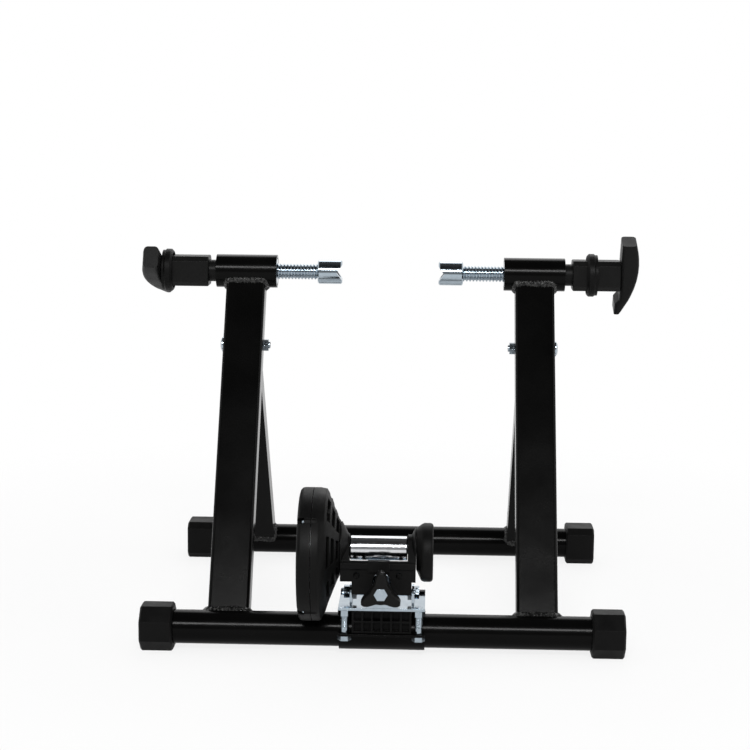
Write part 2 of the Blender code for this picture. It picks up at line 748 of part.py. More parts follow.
def make_cup(name, side, holder):
    """Axle cup with a round recess and a V-groove across its face."""
    place = (AXLE_Y, AXLE_HEIGHT)
    radius = CUP_DIAMETER / 2
    profile = [(CUP_FACE_X, radius - CUP_EDGE), (CUP_FACE_X + CUP_EDGE, radius),
               (CUP_BACK_X - CUP_EDGE, radius), (CUP_BACK_X, radius - CUP_EDGE)]
    cup = make_object("cup", turned(profile, place, FINE, side=side))
    recess = rod_x(CUP_FACE_X - CUP_EDGE, CUP_FACE_X + CUP_RECESS_DEPTH, CUP_RECESS_DIAMETER / 2,
                   place, COARSE, side)
    hole_end = CUP_BACK_X - spigot_length() - GAP
    spigot_hole = rod_x(hole_end, CUP_BACK_X + CUP_EDGE, SPIGOT_DIAMETER / 2 + GAP, place, COARSE, side)
    half = CUP_GROOVE_WIDTH / 2
    slope = half / CUP_GROOVE_DEPTH
    over = CUP_EDGE
    groove_outline = [(side * (CUP_FACE_X + CUP_GROOVE_DEPTH), AXLE_HEIGHT),
                      (side * (CUP_FACE_X - over), AXLE_HEIGHT + half + over * slope),
                      (side * (CUP_FACE_X - over), AXLE_HEIGHT - half - over * slope)]
    groove = make_object("groove", prism_y(groove_outline, AXLE_Y - CUP_DIAMETER, AXLE_Y + CUP_DIAMETER))
    return named(cut(cup, groove, recess, spigot_hole), name, ZINC, holder)


def spigot_length():
    """Length of the rod's spigot, up to a wall behind the cup's recess."""
    return CUP_LENGTH - CUP_RECESS_DEPTH - 2 * CUP_EDGE


def make_rod(name, side, holder):
    """Clamp rod, with a spigot that swivels in the cup."""
    radius = ROD_DIAMETER / 2
    start = CUP_BACK_X + GAP
    end = BARREL_OUTER_X - ROD_END_MARGIN
    profile = [(CUP_BACK_X - spigot_length(), SPIGOT_DIAMETER / 2), (start, SPIGOT_DIAMETER / 2),
               (start, radius - BARREL_EDGE), (start + BARREL_EDGE, radius),
               (end - BARREL_EDGE, radius), (end, radius - BARREL_EDGE)]
    return make_object(name, turned(profile, (AXLE_Y, AXLE_HEIGHT), COARSE, side=side), ZINC, holder)


def make_barrel(name, side, holder):
    """Moulded barrel with a round neck and four flats, fixed on the rod's outer end."""
    place = (AXLE_Y, AXLE_HEIGHT)
    neck = rod_x(SLEEVE_OUTER_X - NECK_IN_SLEEVE, BARREL_INNER_X + BARREL_EDGE * 2, NECK_DIAMETER / 2,
                 place, COARSE, side)
    chamfer = (BARREL_WIDTH - BARREL_FLAT) / 2
    stations = ((BARREL_INNER_X, -BARREL_EDGE), (BARREL_INNER_X + BARREL_EDGE, 0), (BARREL_OUTER_X, 0))
    sections = []
    for x, grow in stations:
        outline = chamfered_square(BARREL_WIDTH + 2 * grow, chamfer + grow * (2 - math.sqrt(2)))
        sections.append([Vector((side * x, AXLE_Y + y, AXLE_HEIGHT + z)) for y, z in outline])
    barrel = make_object("barrel", loft(bmesh.new(), sections))
    join(barrel, neck)
    bore_end = BARREL_OUTER_X - ROD_END_MARGIN + GAP
    cut(barrel, rod_x(0, bore_end, ROD_DIAMETER / 2 + GAP, place, COARSE, side))
    return named(barrel, name, HANDLE_PLASTIC, holder)


def make_handle(name, side, holder, angle):
    """Wing handle: a thick arm, and a thin one swept back outside the lock ring."""
    half = HANDLE_LENGTH / 2
    sweep_start = RING_DIAMETER / 2 + 2 * RING_CLEARANCE
    shares = [math.sin((2 * index / HANDLE_STATION_COUNT - 1) * math.pi / 2)
              for index in range(HANDLE_STATION_COUNT + 1)]
    shares += [-sweep_start / half, -(sweep_start + HANDLE_SWEEP_RUN) / half]
    slope = (HANDLE_THICK_REACH - HANDLE_THIN_REACH) / 2
    sag = HANDLE_MIDDLE_REACH - (HANDLE_THICK_REACH + HANDLE_THIN_REACH) / 2
    sections = []
    for share in sorted(shares):
        swept = min(1, max(0, (-share * half - sweep_start) / HANDLE_SWEEP_RUN))
        inner = HANDLE_INNER_X - HANDLE_SWEEP * swept
        outer = HANDLE_INNER_X + HANDLE_MIDDLE_REACH + slope * share - sag * share * share
        width = HANDLE_TIP_WIDTH + (HANDLE_WIDTH - HANDLE_TIP_WIDTH) * (1 - share * share)
        edge = min(HANDLE_EDGE, (outer - inner) / 3)
        outline = rounded_rectangle((inner, -width / 2), (outer, width / 2), edge)
        height = AXLE_HEIGHT + share * half
        sections.append([Vector((side * x, AXLE_Y + across, height)) for x, across in outline])
    handle = make_object("handle", loft(bmesh.new(), sections))
    rotate_about(handle, (0, AXLE_Y, AXLE_HEIGHT), "X", angle)
    return named(handle, name, HANDLE_PLASTIC, holder)


def barrel_corner_radius():
    """Distance from the barrel's axis to its corners."""
    return math.hypot(BARREL_WIDTH / 2, BARREL_FLAT / 2)


def make_lock_ring(name, side, holder, inset):
    """Ring that slides on the barrel, with a chamfered flange and a small hub."""
    end = BARREL_OUTER_X - inset
    start = end - RING_FLANGE - RING_HUB
    flange_end = start + RING_FLANGE
    outer = RING_DIAMETER / 2
    bore = barrel_corner_radius() + RING_CLEARANCE
    profile = [(start, outer - RING_CHAMFER), (start + RING_CHAMFER, outer),
               (flange_end - RING_CHAMFER / 2, outer), (flange_end, outer - RING_CHAMFER / 2),
               (flange_end, RING_HUB_DIAMETER / 2), (end, RING_HUB_DIAMETER / 2), (end, bore), (start, bore)]
    ring = turned(profile, (AXLE_Y, AXLE_HEIGHT), FINE, ring=True, side=side)
    return make_object(name, ring, PLASTIC, holder)


# Brake unit


def yoke_plate(boss, boss_radius, low, high, start, end, count=SMALL):
    """Plate in Y and Z between a round boss and the yoke's front wall."""
    points = moved(circle(boss_radius, count), boss)
    points += [(WALL_FRONT_Y, low), (WALL_FRONT_Y, high), (WALL_BACK_Y, low), (WALL_BACK_Y, high)]
    return make_object("plate", prism_x(hull(points), start, end))


def make_yoke(holder):
    """Cast yoke: two bearing arms, a ridged wall narrowed below them, pivot lugs and swivel lugs."""
    shaft = (SHAFT_Y, SHAFT_HEIGHT)
    tilt = (TILT_Y, TILT_HEIGHT)
    swivel = (TILT_Y, ADJUST_Z)
    low_edge = LUG_OUTER_X + GAP / 2
    wall_outline = [(-low_edge, FRONT_WALL_BOTTOM), (low_edge, FRONT_WALL_BOTTOM),
                    (low_edge, ARM_BOTTOM), (RIGHT_ARM_RIGHT_X, ARM_BOTTOM),
                    (RIGHT_ARM_RIGHT_X, FRONT_WALL_TOP), (LEFT_ARM_LEFT_X, FRONT_WALL_TOP),
                    (LEFT_ARM_LEFT_X, ARM_BOTTOM), (-low_edge, ARM_BOTTOM)]
    yoke = make_object("wall", prism_y(wall_outline, WALL_FRONT_Y, WALL_BACK_Y))
    ridge_low = FRONT_WALL_TOP - RIDGE_HEIGHT
    ridge_front = WALL_FRONT_Y - RIDGE_THICKNESS
    rounding = RIDGE_THICKNESS * RIDGE_ROUNDING_SHARE
    ridge_outline = [(WALL_BACK_Y - GAP, ridge_low), (WALL_BACK_Y - GAP, FRONT_WALL_TOP - GAP),
                     (ridge_front + rounding, FRONT_WALL_TOP - GAP), (ridge_front, FRONT_WALL_TOP - rounding),
                     (ridge_front, ridge_low + rounding), (ridge_front + rounding, ridge_low)]
    ridge = make_object("ridge", prism_x(ridge_outline, LEFT_ARM_LEFT_X + GAP, RIGHT_ARM_RIGHT_X - GAP))
    pad_low = ridge_low - RIDGE_CENTRE_RISE
    pad = block((RIDGE_CENTRE_LEFT, ridge_front - RIDGE_CENTRE_RISE, pad_low),
                (RIDGE_CENTRE_RIGHT, WALL_BACK_Y - 2 * GAP, FRONT_WALL_TOP + RIDGE_CENTRE_RISE))
    arm_low = ARM_BOTTOM + GAP
    arm_high = FRONT_WALL_TOP + 2 * GAP
    left_arm = yoke_plate(shaft, ARM_BOSS_RADIUS, arm_low, arm_high,
                          LEFT_ARM_LEFT_X + GAP / 2, LEFT_ARM_RIGHT_X, COARSE)
    right_arm = yoke_plate(shaft, ARM_BOSS_RADIUS, arm_low, arm_high,
                           RIGHT_ARM_LEFT_X, RIGHT_ARM_RIGHT_X - GAP / 2, COARSE)
    left_collar = make_object("collar", turned(
        [(LEFT_ARM_LEFT_X, LEFT_COLLAR_RADIUS), (LEFT_ARM_LEFT_X + GAP * 4, LEFT_COLLAR_RADIUS),
         (LEFT_ARM_RIGHT_X - BEARING_SHOULDER, ARM_BOSS_RADIUS + GAP)], shaft, MEDIUM))
    right_collar = make_object("collar", turned(
        [(RIGHT_ARM_RIGHT_X - RIGHT_COLLAR_LENGTH, ARM_BOSS_RADIUS + GAP),
         (RIGHT_ARM_RIGHT_X - GAP * 4, RIGHT_COLLAR_RADIUS),
         (RIGHT_ARM_RIGHT_X, RIGHT_COLLAR_RADIUS)], shaft, MEDIUM))
    join(yoke, ridge, pad, left_arm, right_arm, left_collar, right_collar)
    for side in (-1, 1):
        ends = sorted((side * LUG_INNER_X, side * LUG_OUTER_X))
        join(yoke, yoke_plate(tilt, LUG_RADIUS, FRONT_WALL_BOTTOM + 2 * GAP,
                              FRONT_WALL_TOP - RIDGE_THICKNESS, *ends, COARSE))
        ends = sorted((side * NUT_LUG_INNER_X, side * (NUT_LUG_INNER_X + NUT_LUG_THICKNESS)))
        join(yoke, yoke_plate(swivel, NUT_LUG_RADIUS, FRONT_WALL_BOTTOM + 3 * GAP,
                              FRONT_WALL_TOP - RIDGE_HEIGHT, *ends, COARSE))
    reach = LEFT_COLLAR_RADIUS * 3
    shaft_hole = rod_x(-reach, reach, SHAFT_RADIUS + BOLT_CLEARANCE * 3, shaft, COARSE)
    left_seat = rod_x(-reach, LEFT_ARM_RIGHT_X - BEARING_SHOULDER, BEARING_DIAMETER / 2 + GAP, shaft, COARSE)
    right_seat = rod_x(RIGHT_ARM_LEFT_X + BEARING_SHOULDER, reach, BEARING_DIAMETER / 2 + GAP, shaft, COARSE)
    pivot_hole = rod_x(-reach, reach, BOLT_HOLE_RADIUS, tilt, COARSE)
    swivel_hole = rod_x(-reach, reach, SWIVEL_DIAMETER / 2 + SWIVEL_CLEARANCE, swivel, COARSE)
    cut(yoke, shaft_hole, left_seat, right_seat, pivot_hole, swivel_hole)
    notch_arc = arc((0, WALL_NOTCH_TOP - WALL_NOTCH_RADIUS), WALL_NOTCH_RADIUS, 0, 180, SMALL)
    notch_outline = notch_arc + [(-WALL_NOTCH_RADIUS, TILT_HEIGHT), (WALL_NOTCH_RADIUS, TILT_HEIGHT)]
    notch = make_object("notch", prism_y(notch_outline, KNOB_BACK_Y, WALL_BACK_Y + FRONT_WALL_THICKNESS))
    cut(yoke, notch)
    for x in YOKE_SCREW_X:
        hole_end = WALL_FRONT_Y + YOKE_SCREW_LENGTH + GAP
        hole_place = (x, YOKE_SCREW_HEIGHT)
        cut(yoke, rod_y(WALL_FRONT_Y - RIDGE_THICKNESS, hole_end, YOKE_SCREW_DIAMETER / 2 + GAP, hole_place))
    return named(yoke, "unit_yoke", PLASTIC, holder)


def make_yoke_screws(holder):
    """Round-headed screws in the yoke's front wall."""
    for word, x in zip(WORDS, YOKE_SCREW_X):
        radius = YOKE_SCREW_HEAD_DIAMETER / 2
        base = WALL_FRONT_Y - GAP
        stations = ((base - YOKE_SCREW_HEAD_HEIGHT, radius * SCREW_CROWN_SHARE),
                    (base - YOKE_SCREW_HEAD_HEIGHT * SCREW_SHOULDER_RISE_SHARE,
                     radius * SCREW_SHOULDER_SHARE),
                    (base, radius), (base, YOKE_SCREW_DIAMETER / 2),
                    (base + YOKE_SCREW_LENGTH, YOKE_SCREW_DIAMETER / 2))
        sections = []
        for y, size in stations:
            sections.append([Vector((x + a, y, YOKE_SCREW_HEIGHT + b)) for a, b in circle(size, SMALL)])
        make_object(word + "_yoke_screw", loft(bmesh.new(), sections), PAINT, holder)


def make_bearings(holder):
    """Ball bearings, each a pair of races round a sealed middle."""
    shaft = (SHAFT_Y, SHAFT_HEIGHT)
    outer = BEARING_DIAMETER / 2
    inner = SHAFT_RADIUS + GAP
    seal = BARREL_EDGE / 2
    outer_race = outer - BEARING_RACE / 2
    inner_race = inner + BEARING_RACE / 2
    left = LEFT_ARM_RIGHT_X - BEARING_SHOULDER - GAP - BEARING_WIDTH
    right = RIGHT_ARM_LEFT_X + BEARING_SHOULDER + GAP
    for word, start in zip(WORDS, (left, right)):
        end = start + BEARING_WIDTH
        profile = [(start, outer), (end, outer), (end, outer_race), (end - seal, outer_race),
                   (end - seal, inner_race), (end, inner_race), (end, inner),
                   (start, inner), (start, inner_race), (start + seal, inner_race),
                   (start + seal, outer_race), (start, outer_race)]
        make_object(word + "_bearing", turned(profile, shaft, SMALL, ring=True), STEEL, holder)


def housing_rings():
    """Rings of the vented half as X, centre height, radius and whether a vent band follows."""
    shaft = SHAFT_HEIGHT
    neck_x = LEFT_ARM_LEFT_X - GAP
    depth = neck_x - HOUSING_SEAM_X
    reach = RIM_RADIUS - LEFT_COLLAR_RADIUS
    rings = []
    for along, drop, radius, vented in CONE_OUTLINE:
        x = HOUSING_SEAM_X + GAP + (depth - GAP) * along
        rings.append((x, shaft - RIM_DROP * drop, LEFT_COLLAR_RADIUS + reach * radius, vented))
    rings.append((neck_x, shaft, HOUSING_SHAFT_HOLE, False))
    return rings


def make_housing_inner(holder):
    """Vented cone: a shell lofted from the low-set rim to the shaft, with arc slots between ribs."""
    rings = housing_rings()
    mesh_data = bmesh.new()
    rows = []
    for x, height, radius, vented in rings:
        row = []
        for index in range(RIM_CELL_COUNT):
            angle = VENT_PHASE + 2 * math.pi * index / RIM_CELL_COUNT
            place = (x, SHAFT_Y - radius * math.cos(angle), height + radius * math.sin(angle))
            row.append(mesh_data.verts.new(place))
        rows.append(row)
    for level, (first, second) in enumerate(zip(rows, rows[1:])):
        vented = rings[level][3]
        for index in range(RIM_CELL_COUNT):
            if vented and index % (SLOT_CELL_COUNT + RIB_CELL_COUNT) < SLOT_CELL_COUNT:
                continue
            following = (index + 1) % RIM_CELL_COUNT
            mesh_data.faces.new((first[index], first[following], second[following], second[index]))
    shell = make_object("shell", mesh_data)
    wall = shell.modifiers.new("Wall", "SOLIDIFY")
    wall.thickness = HOUSING_WALL
    wall.offset = -1
    wall.use_even_offset = True
    bpy.context.view_layer.update()
    graph = bpy.context.evaluated_depsgraph_get()
    shell.data, old = bpy.data.meshes.new_from_object(shell.evaluated_get(graph)), shell.data
    shell.modifiers.clear()
    bpy.data.meshes.remove(old)
    first_ring, second_ring = rings[POST_BAND:POST_BAND + 2]
    post_radius = (first_ring[2] + second_ring[2]) / 2
    post_end = (first_ring[0] + second_ring[0] - HOUSING_WALL) / 2
    post_start = carrier_left_x() + CARRIER_THICKNESS + GAP
    for index in range(POST_COUNT):
        angle = 2 * math.pi * index / POST_COUNT
        place = (SHAFT_Y + post_radius * math.cos(angle), SHAFT_HEIGHT + post_radius * math.sin(angle))
        join(shell, rod_x(post_start, post_end, POST_RADIUS, place, SMALL))
    low = HOUSING_SEAM_X + GAP
    for place in screw_boss_places():
        boss_profile = [(low, SCREW_BOSS_RADIUS), (low + RIM_ROUNDING, SCREW_BOSS_RADIUS),
                        (low + RIM_ROUNDING * BOSS_LENGTH_SHARE, SCREW_BOSS_RADIUS * BOSS_TIP_SHARE)]
        join(shell, make_object("boss", turned(boss_profile, place, SMALL)))
        cut(shell, rod_x(low - RIM_ROUNDING, low + RIM_ROUNDING, HOUSING_SCREW_DIAMETER / 2 + GAP,
                         place, SMALL))
    return named(shell, "housing_inner", PLASTIC, holder)


def screw_boss_places():
    """Centres of the housing's screw bosses in Y and Z."""
    radius = RIM_RADIUS - SCREW_BOSS_INSET
    places = []
    for degrees in SCREW_BOSS_ANGLES:
        angle = math.radians(degrees)
        places.append((SHAFT_Y - radius * math.cos(angle), RIM_Z + radius * math.sin(angle)))
    return places


def make_housing_outer(holder):
    """Outer half of the housing: a dished cover with a rounded rim and a stepped face."""
    face = HOUSING_OUTER_X
    seam = HOUSING_SEAM_X - GAP
    wall = HOUSING_WALL
    rim = RIM_RADIUS
    centre_face = face + FACE_STEP_DEPTH
    outside = [(centre_face, 0), (centre_face, FACE_STEP_RADIUS - FACE_STEP_DEPTH), (face, FACE_STEP_RADIUS)]
    outside += arc((face + RIM_ROUNDING, rim - RIM_ROUNDING), RIM_ROUNDING, 180, 90, 3)
    outside.append((seam, rim))
    inside = [(seam, rim - wall), (face + RIM_ROUNDING, rim - wall), (centre_face + wall, rim - RIM_ROUNDING),
              (centre_face + wall, 0)]
    cover = make_object("cover", turned(outside + inside, (SHAFT_Y, RIM_Z), RIM_CELL_COUNT))
    for place in screw_boss_places():
        boss = rod_x(face + RIM_ROUNDING, seam, SCREW_BOSS_RADIUS, place)
        join(cover, boss)
        cut(cover, rod_x(face - RIM_ROUNDING, seam + RIM_ROUNDING, HOUSING_SCREW_DIAMETER / 2 + GAP, place))
        head_seat = face + RIM_ROUNDING
        cut(cover, rod_x(face - RIM_ROUNDING, head_seat, HOUSING_SCREW_HEAD_DIAMETER / 2 + GAP, place))
    return named(cover, "housing_outer", PLASTIC, holder)


def carrier_left_x():
    """Left face of the magnet carrier, seated against the housing's cone."""
    return housing_rings()[3][0] - HOUSING_WALL - CARRIER_THICKNESS - GAP


def disc_right_x():
    """Right face of the conductor disc, an air gap from the magnets."""
    return carrier_left_x() - MAGNET_THICKNESS - AIR_GAP


def make_magnets(holder):
    """Magnet carrier ring with its magnets bonded on."""
    shaft = (SHAFT_Y, SHAFT_HEIGHT)
    left = carrier_left_x()
    profile = tube_profile(left, left + CARRIER_THICKNESS, CARRIER_RADIUS, CARRIER_BORE_RADIUS)
    carrier = make_object("carrier", turned(profile, shaft, MEDIUM, ring=True))
    for index in range(MAGNET_COUNT):
        angle = 2 * math.pi * index / MAGNET_COUNT
        place = (SHAFT_Y + MAGNET_CIRCLE_RADIUS * math.cos(angle),
                 SHAFT_HEIGHT + MAGNET_CIRCLE_RADIUS * math.sin(angle))
        join(carrier, rod_x(left - MAGNET_THICKNESS, left + GAP, MAGNET_DIAMETER / 2, place, SMALL))
    return named(carrier, "magnet_carrier", MAGNET, holder)


def make_rotor(holder):
    """Shaft, roller, flywheel, conductor disc, balance wheel and the shaft's nut."""
    shaft = (SHAFT_Y, SHAFT_HEIGHT)
    bore = SHAFT_RADIUS + GAP
    disc_right = disc_right_x()
    disc_left = disc_right - DISC_THICKNESS
    wheel_right = disc_left - GAP
    wheel_left = wheel_right - FLYWHEEL_THICKNESS
    rim_inner = FLYWHEEL_RADIUS - FLYWHEEL_RIM_WIDTH
    web_left = wheel_left + (FLYWHEEL_THICKNESS - FLYWHEEL_WEB)
    balance_left = RIGHT_ARM_RIGHT_X + DRUM_SLOPE + DRUM_WALL / 2 + BALANCE_CLEARANCE
    balance_right = balance_left + BALANCE_THICKNESS
    nut_left = wheel_left - GAP - SHAFT_NUT_HEIGHT
    shaft_profile = [(nut_left - GAP, SHAFT_RADIUS), (balance_right + GAP, SHAFT_RADIUS)]
    make_object("shaft", turned(shaft_profile, shaft, COARSE), STEEL, holder)
    roller_profile = tube_profile(ROLLER_LEFT_X, ROLLER_RIGHT_X, ROLLER_DIAMETER / 2, bore, ROLLER_CHAMFER)
    make_object("roller", turned(roller_profile, shaft, FINE, ring=True), CHROME, holder)
    disc_profile = tube_profile(disc_left, disc_right, DISC_RADIUS, bore)
    make_object("conductor_disc", turned(disc_profile, shaft, MEDIUM, ring=True), ALUMINIUM, holder)
    wheel_profile = [(wheel_left, FLYWHEEL_RADIUS), (wheel_right, FLYWHEEL_RADIUS), (wheel_right, bore),
                     (wheel_left, bore), (wheel_left, FLYWHEEL_HUB_RADIUS), (web_left, FLYWHEEL_HUB_RADIUS),
                     (web_left, rim_inner), (wheel_left, rim_inner)]
    make_object("flywheel", turned(wheel_profile, shaft, MEDIUM, ring=True), STEEL, holder)
    balance_profile = tube_profile(balance_left, balance_right, BALANCE_RADIUS, bore, ROLLER_CHAMFER)
    make_object("balance_wheel", turned(balance_profile, shaft, MEDIUM, ring=True), STEEL, holder)
    nut = hex_x(nut_left, wheel_left - GAP, shaft)
    cut(nut, rod_x(nut_left - GAP, wheel_left, bore, shaft, COARSE))
    named(nut, "shaft_nut", ZINC, holder)


def make_drum_cover(holder):
    """Cover over the balance wheel, sloped towards the roller."""
    left = RIGHT_ARM_RIGHT_X + GAP
    slope_end = left + DRUM_SLOPE
    right = DRUM_RIGHT_X
    wall = DRUM_WALL
    hole = SHAFT_RADIUS + 4 * GAP
    # Each row holds X, the share of the drop reached, and the radius
    rows = [(left, 0.0, hole),
            (left, 0.0, RIGHT_COLLAR_RADIUS),
            (slope_end, 1.0, DRUM_RADIUS - DRUM_ROUNDING / 2),
            (slope_end + DRUM_ROUNDING, 1.0, DRUM_RADIUS),
            (right - DRUM_ROUNDING, 1.0, DRUM_RADIUS),
            (right - DRUM_ROUNDING / 3, 1.0, DRUM_RADIUS - DRUM_ROUNDING / 3),
            (right, 1.0, DRUM_RADIUS - DRUM_ROUNDING),
            (right, 1.0, 0),
            (right - wall, 1.0, 0),
            (right - wall, 1.0, DRUM_RADIUS - DRUM_ROUNDING - wall / 2),
            (right - DRUM_ROUNDING, 1.0, DRUM_RADIUS - wall),
            (slope_end + DRUM_ROUNDING, 1.0, DRUM_RADIUS - wall),
            (slope_end + wall / 2, 1.0, DRUM_RADIUS - wall - DRUM_ROUNDING / 2),
            (left + wall, 0.0, RIGHT_COLLAR_RADIUS),
            (left + wall, 0.0, hole)]
    sections = []
    for x, drop, radius in rows:
        height = SHAFT_HEIGHT - DRUM_DROP * drop
        sections.append([Vector((x, SHAFT_Y + a, height + b)) for a, b in circle(radius, MEDIUM)])
    half = rows.index((right, 1.0, 0))
    mesh_data = bmesh.new()
    loft_open(mesh_data, sections[:half + 1], sections[half + 1:])
    return make_object("drum_cover", mesh_data, PLASTIC, holder)


def loft_open(mesh_data, outside, inside):
    """Skin a shell's outside and inside, each ending in a pole, and join them at their open edge."""
    sections = outside[::-1] + inside[::-1]
    return loft(mesh_data, sections)


# Bracket, clamp and adjuster


def make_bracket():
    """Folded bracket: base plate, two pivot ears and the tab for the adjusting bolt."""
    tilt = (TILT_Y, TILT_HEIGHT)
    bracket = block((-BASE_HALF_WIDTH, TAB_FRONT_Y, BASE_BOTTOM),
                    (BASE_HALF_WIDTH, FRONT_Y + SADDLE_FRONT, BASE_TOP))
    for side in (-1, 1):
        foot_z = BASE_BOTTOM + BASE_THICKNESS / 2
        points = moved(circle(EAR_RADIUS, COARSE), tilt)
        points += [(FRONT_Y - EAR_FOOT_FRONT, foot_z), (FRONT_Y + EAR_FOOT_BACK, foot_z)]
        points += [(FRONT_Y - EAR_FOOT_FRONT, BASE_TOP + GAP), (FRONT_Y + EAR_FOOT_BACK, BASE_TOP + GAP)]
        ends = sorted((side * EAR_INNER_X, side * EAR_OUTER_X))
        join(bracket, make_object("ear", prism_x(hull(points), *ends)))
    tab_outline = [(TAB_HALF_WIDTH, BASE_BOTTOM + GAP)]
    corner = TAB_TOP_RADIUS
    top = ADJUST_Z + TAB_TOP_RADIUS
    tab_outline += arc((TAB_HALF_WIDTH - corner, top - corner), corner, 0, 90, TAB_CORNER_STEP_COUNT)
    tab_outline += arc((-TAB_HALF_WIDTH + corner, top - corner), corner, 90, 180, TAB_CORNER_STEP_COUNT)
    tab_outline.append((-TAB_HALF_WIDTH, BASE_BOTTOM + GAP))
    join(bracket, make_object("tab", prism_y(tab_outline, TAB_FRONT_Y + GAP / 3, TAB_BACK_Y)))
    reach = BASE_HALF_WIDTH * 2
    pivot_hole = rod_x(-reach, reach, BOLT_HOLE_RADIUS, tilt, COARSE)
    tab_hole = rod_y(TAB_FRONT_Y - TAB_THICKNESS, TAB_BACK_Y + TAB_THICKNESS,
                     BOLT_RADIUS + TAB_HOLE_CLEARANCE, (0, ADJUST_Z), COARSE)
    cut(bracket, pivot_hole, tab_hole)
    for x, y in clamp_bolt_places():
        cut(bracket, rod_z(BASE_BOTTOM - BASE_THICKNESS, BASE_TOP + BASE_THICKNESS,
                           BOLT_HOLE_RADIUS, (x, y), COARSE))
    return named(bracket, "unit_bracket", ZINC)


def clamp_bolt_places():
    """Centres of the two clamp bolts in X and Y."""
    return [(side * CLAMP_BOLT_X, FRONT_Y - CLAMP_BOLT_FORWARD) for side in (-1, 1)]


def make_saddle():
    """Ribbed plastic saddle between the bracket and the bar."""
    saddle = block((-SADDLE_HALF_WIDTH, FRONT_Y - SADDLE_FRONT, SADDLE_BOTTOM),
                   (SADDLE_HALF_WIDTH, FRONT_Y + SADDLE_FRONT, SADDLE_TOP))
    reach = SADDLE_HALF_WIDTH * 2
    cut(saddle, rod_x(-reach, reach, BAR_RADIUS + GAP, (FRONT_Y, FRONT_BAR_Z), FINE))
    column = (2 * SADDLE_HALF_WIDTH - SADDLE_RIB) / SADDLE_COLUMN_COUNT
    row = (SADDLE_TOP - SADDLE_BOTTOM - SADDLE_RIB) / SADDLE_ROW_COUNT
    pockets = []
    for side in (-1, 1):
        face = FRONT_Y + side * SADDLE_FRONT
        depths = sorted((face - side * SADDLE_POCKET_DEPTH, face + side * SADDLE_POCKET_DEPTH))
        for across in range(SADDLE_COLUMN_COUNT):
            for up in range(SADDLE_ROW_COUNT):
                low_x = -SADDLE_HALF_WIDTH + SADDLE_RIB + across * column
                low_z = SADDLE_BOTTOM + SADDLE_RIB + up * row
                high_x = low_x + column - SADDLE_RIB
                high_z = low_z + row - SADDLE_RIB
                pockets.append(block((low_x, depths[0], low_z), (high_x, depths[1], high_z)))
    mesh_data = bmesh.new()
    for pocket in pockets:
        mesh_data.from_mesh(pocket.data)
        bpy.data.objects.remove(pocket, do_unlink=True)
    cut(saddle, make_object("pockets", mesh_data))
    return named(saddle, "saddle_block", PLASTIC)


def make_strap():
    """Pressed strap under the bar: a flange for the bolts in front, a hook over the bracket behind."""
    inner = BAR_RADIUS + GAP
    outer = inner + STRAP_THICKNESS
    top = SADDLE_BOTTOM - GAP
    bottom = top - STRAP_THICKNESS
    outer_angle = math.degrees(math.asin((bottom - FRONT_BAR_Z) / outer))
    inner_angle = math.degrees(math.asin((top - FRONT_BAR_Z) / inner))
    centre = (FRONT_Y, FRONT_BAR_Z)
    reach = STRAP_FLANGE_REACH
    wall = FRONT_Y + SADDLE_FRONT + GAP
    lip = BASE_TOP + GAP
    outline = [(FRONT_Y - reach, bottom)]
    outline += arc(centre, outer, 180 - outer_angle, 360 + outer_angle, COARSE)
    outline += [(wall + STRAP_THICKNESS, bottom), (wall + STRAP_THICKNESS, lip + STRAP_THICKNESS),
                (wall - STRAP_LIP, lip + STRAP_THICKNESS), (wall - STRAP_LIP, lip), (wall, lip), (wall, top)]
    outline += arc(centre, inner, 360 + inner_angle, 180 - inner_angle, COARSE)
    outline.append((FRONT_Y - reach, top))
    strap = make_object("strap", prism_x(outline, -BASE_HALF_WIDTH, BASE_HALF_WIDTH))
    for x, y in clamp_bolt_places():
        cut(strap, rod_z(bottom - STRAP_THICKNESS, top + STRAP_THICKNESS, BOLT_HOLE_RADIUS, (x, y), COARSE))
    return named(strap, "clamp_strap", PAINT)


def make_clamp_fasteners():
    """Bolts up through the strap into weld nuts under the bracket, their ends flush with its top."""
    head_top = SADDLE_BOTTOM - 2 * GAP - STRAP_THICKNESS
    nut_bottom = BASE_BOTTOM - GAP - NUT_HEIGHT
    for word, place in zip(WORDS, clamp_bolt_places()):
        outline = moved(hexagon(HEX_ACROSS_FLATS), place)
        head = make_object("head", prism_z(outline, head_top - HEX_HEAD_HEIGHT, head_top))
        shank = rod_z(head_top - HEX_HEAD_HEIGHT / 2, BASE_TOP, BOLT_RADIUS, place, COARSE)
        named(join(head, shank), word + "_clamp_bolt", ZINC)
        nut = make_object("nut", prism_z(outline, nut_bottom, nut_bottom + NUT_HEIGHT))
        cut(nut, rod_z(nut_bottom - NUT_HEIGHT, nut_bottom + 2 * NUT_HEIGHT, BOLT_HOLE_RADIUS, place, COARSE))
        named(nut, word + "_clamp_nut", ZINC)


def make_tilt_pivot():
    """Bolt and nut on which the yoke tilts in the bracket."""
    tilt = (TILT_Y, TILT_HEIGHT)
    head_start = EAR_OUTER_X + GAP
    head = hex_x(head_start, head_start + HEX_HEAD_HEIGHT, tilt)
    nut_right = -EAR_OUTER_X - GAP
    shank_left = nut_right - NUT_HEIGHT - BOLT_END_LENGTH
    shank = rod_x(shank_left, head_start + HEX_HEAD_HEIGHT / 2, BOLT_RADIUS, tilt, COARSE)
    named(join(head, shank), "tilt_bolt", ZINC)
    nut = hex_x(nut_right - NUT_HEIGHT, nut_right, tilt)
    cut(nut, rod_x(nut_right - 2 * NUT_HEIGHT, 0, BOLT_HOLE_RADIUS, tilt, COARSE))
    named(nut, "tilt_nut", ZINC)


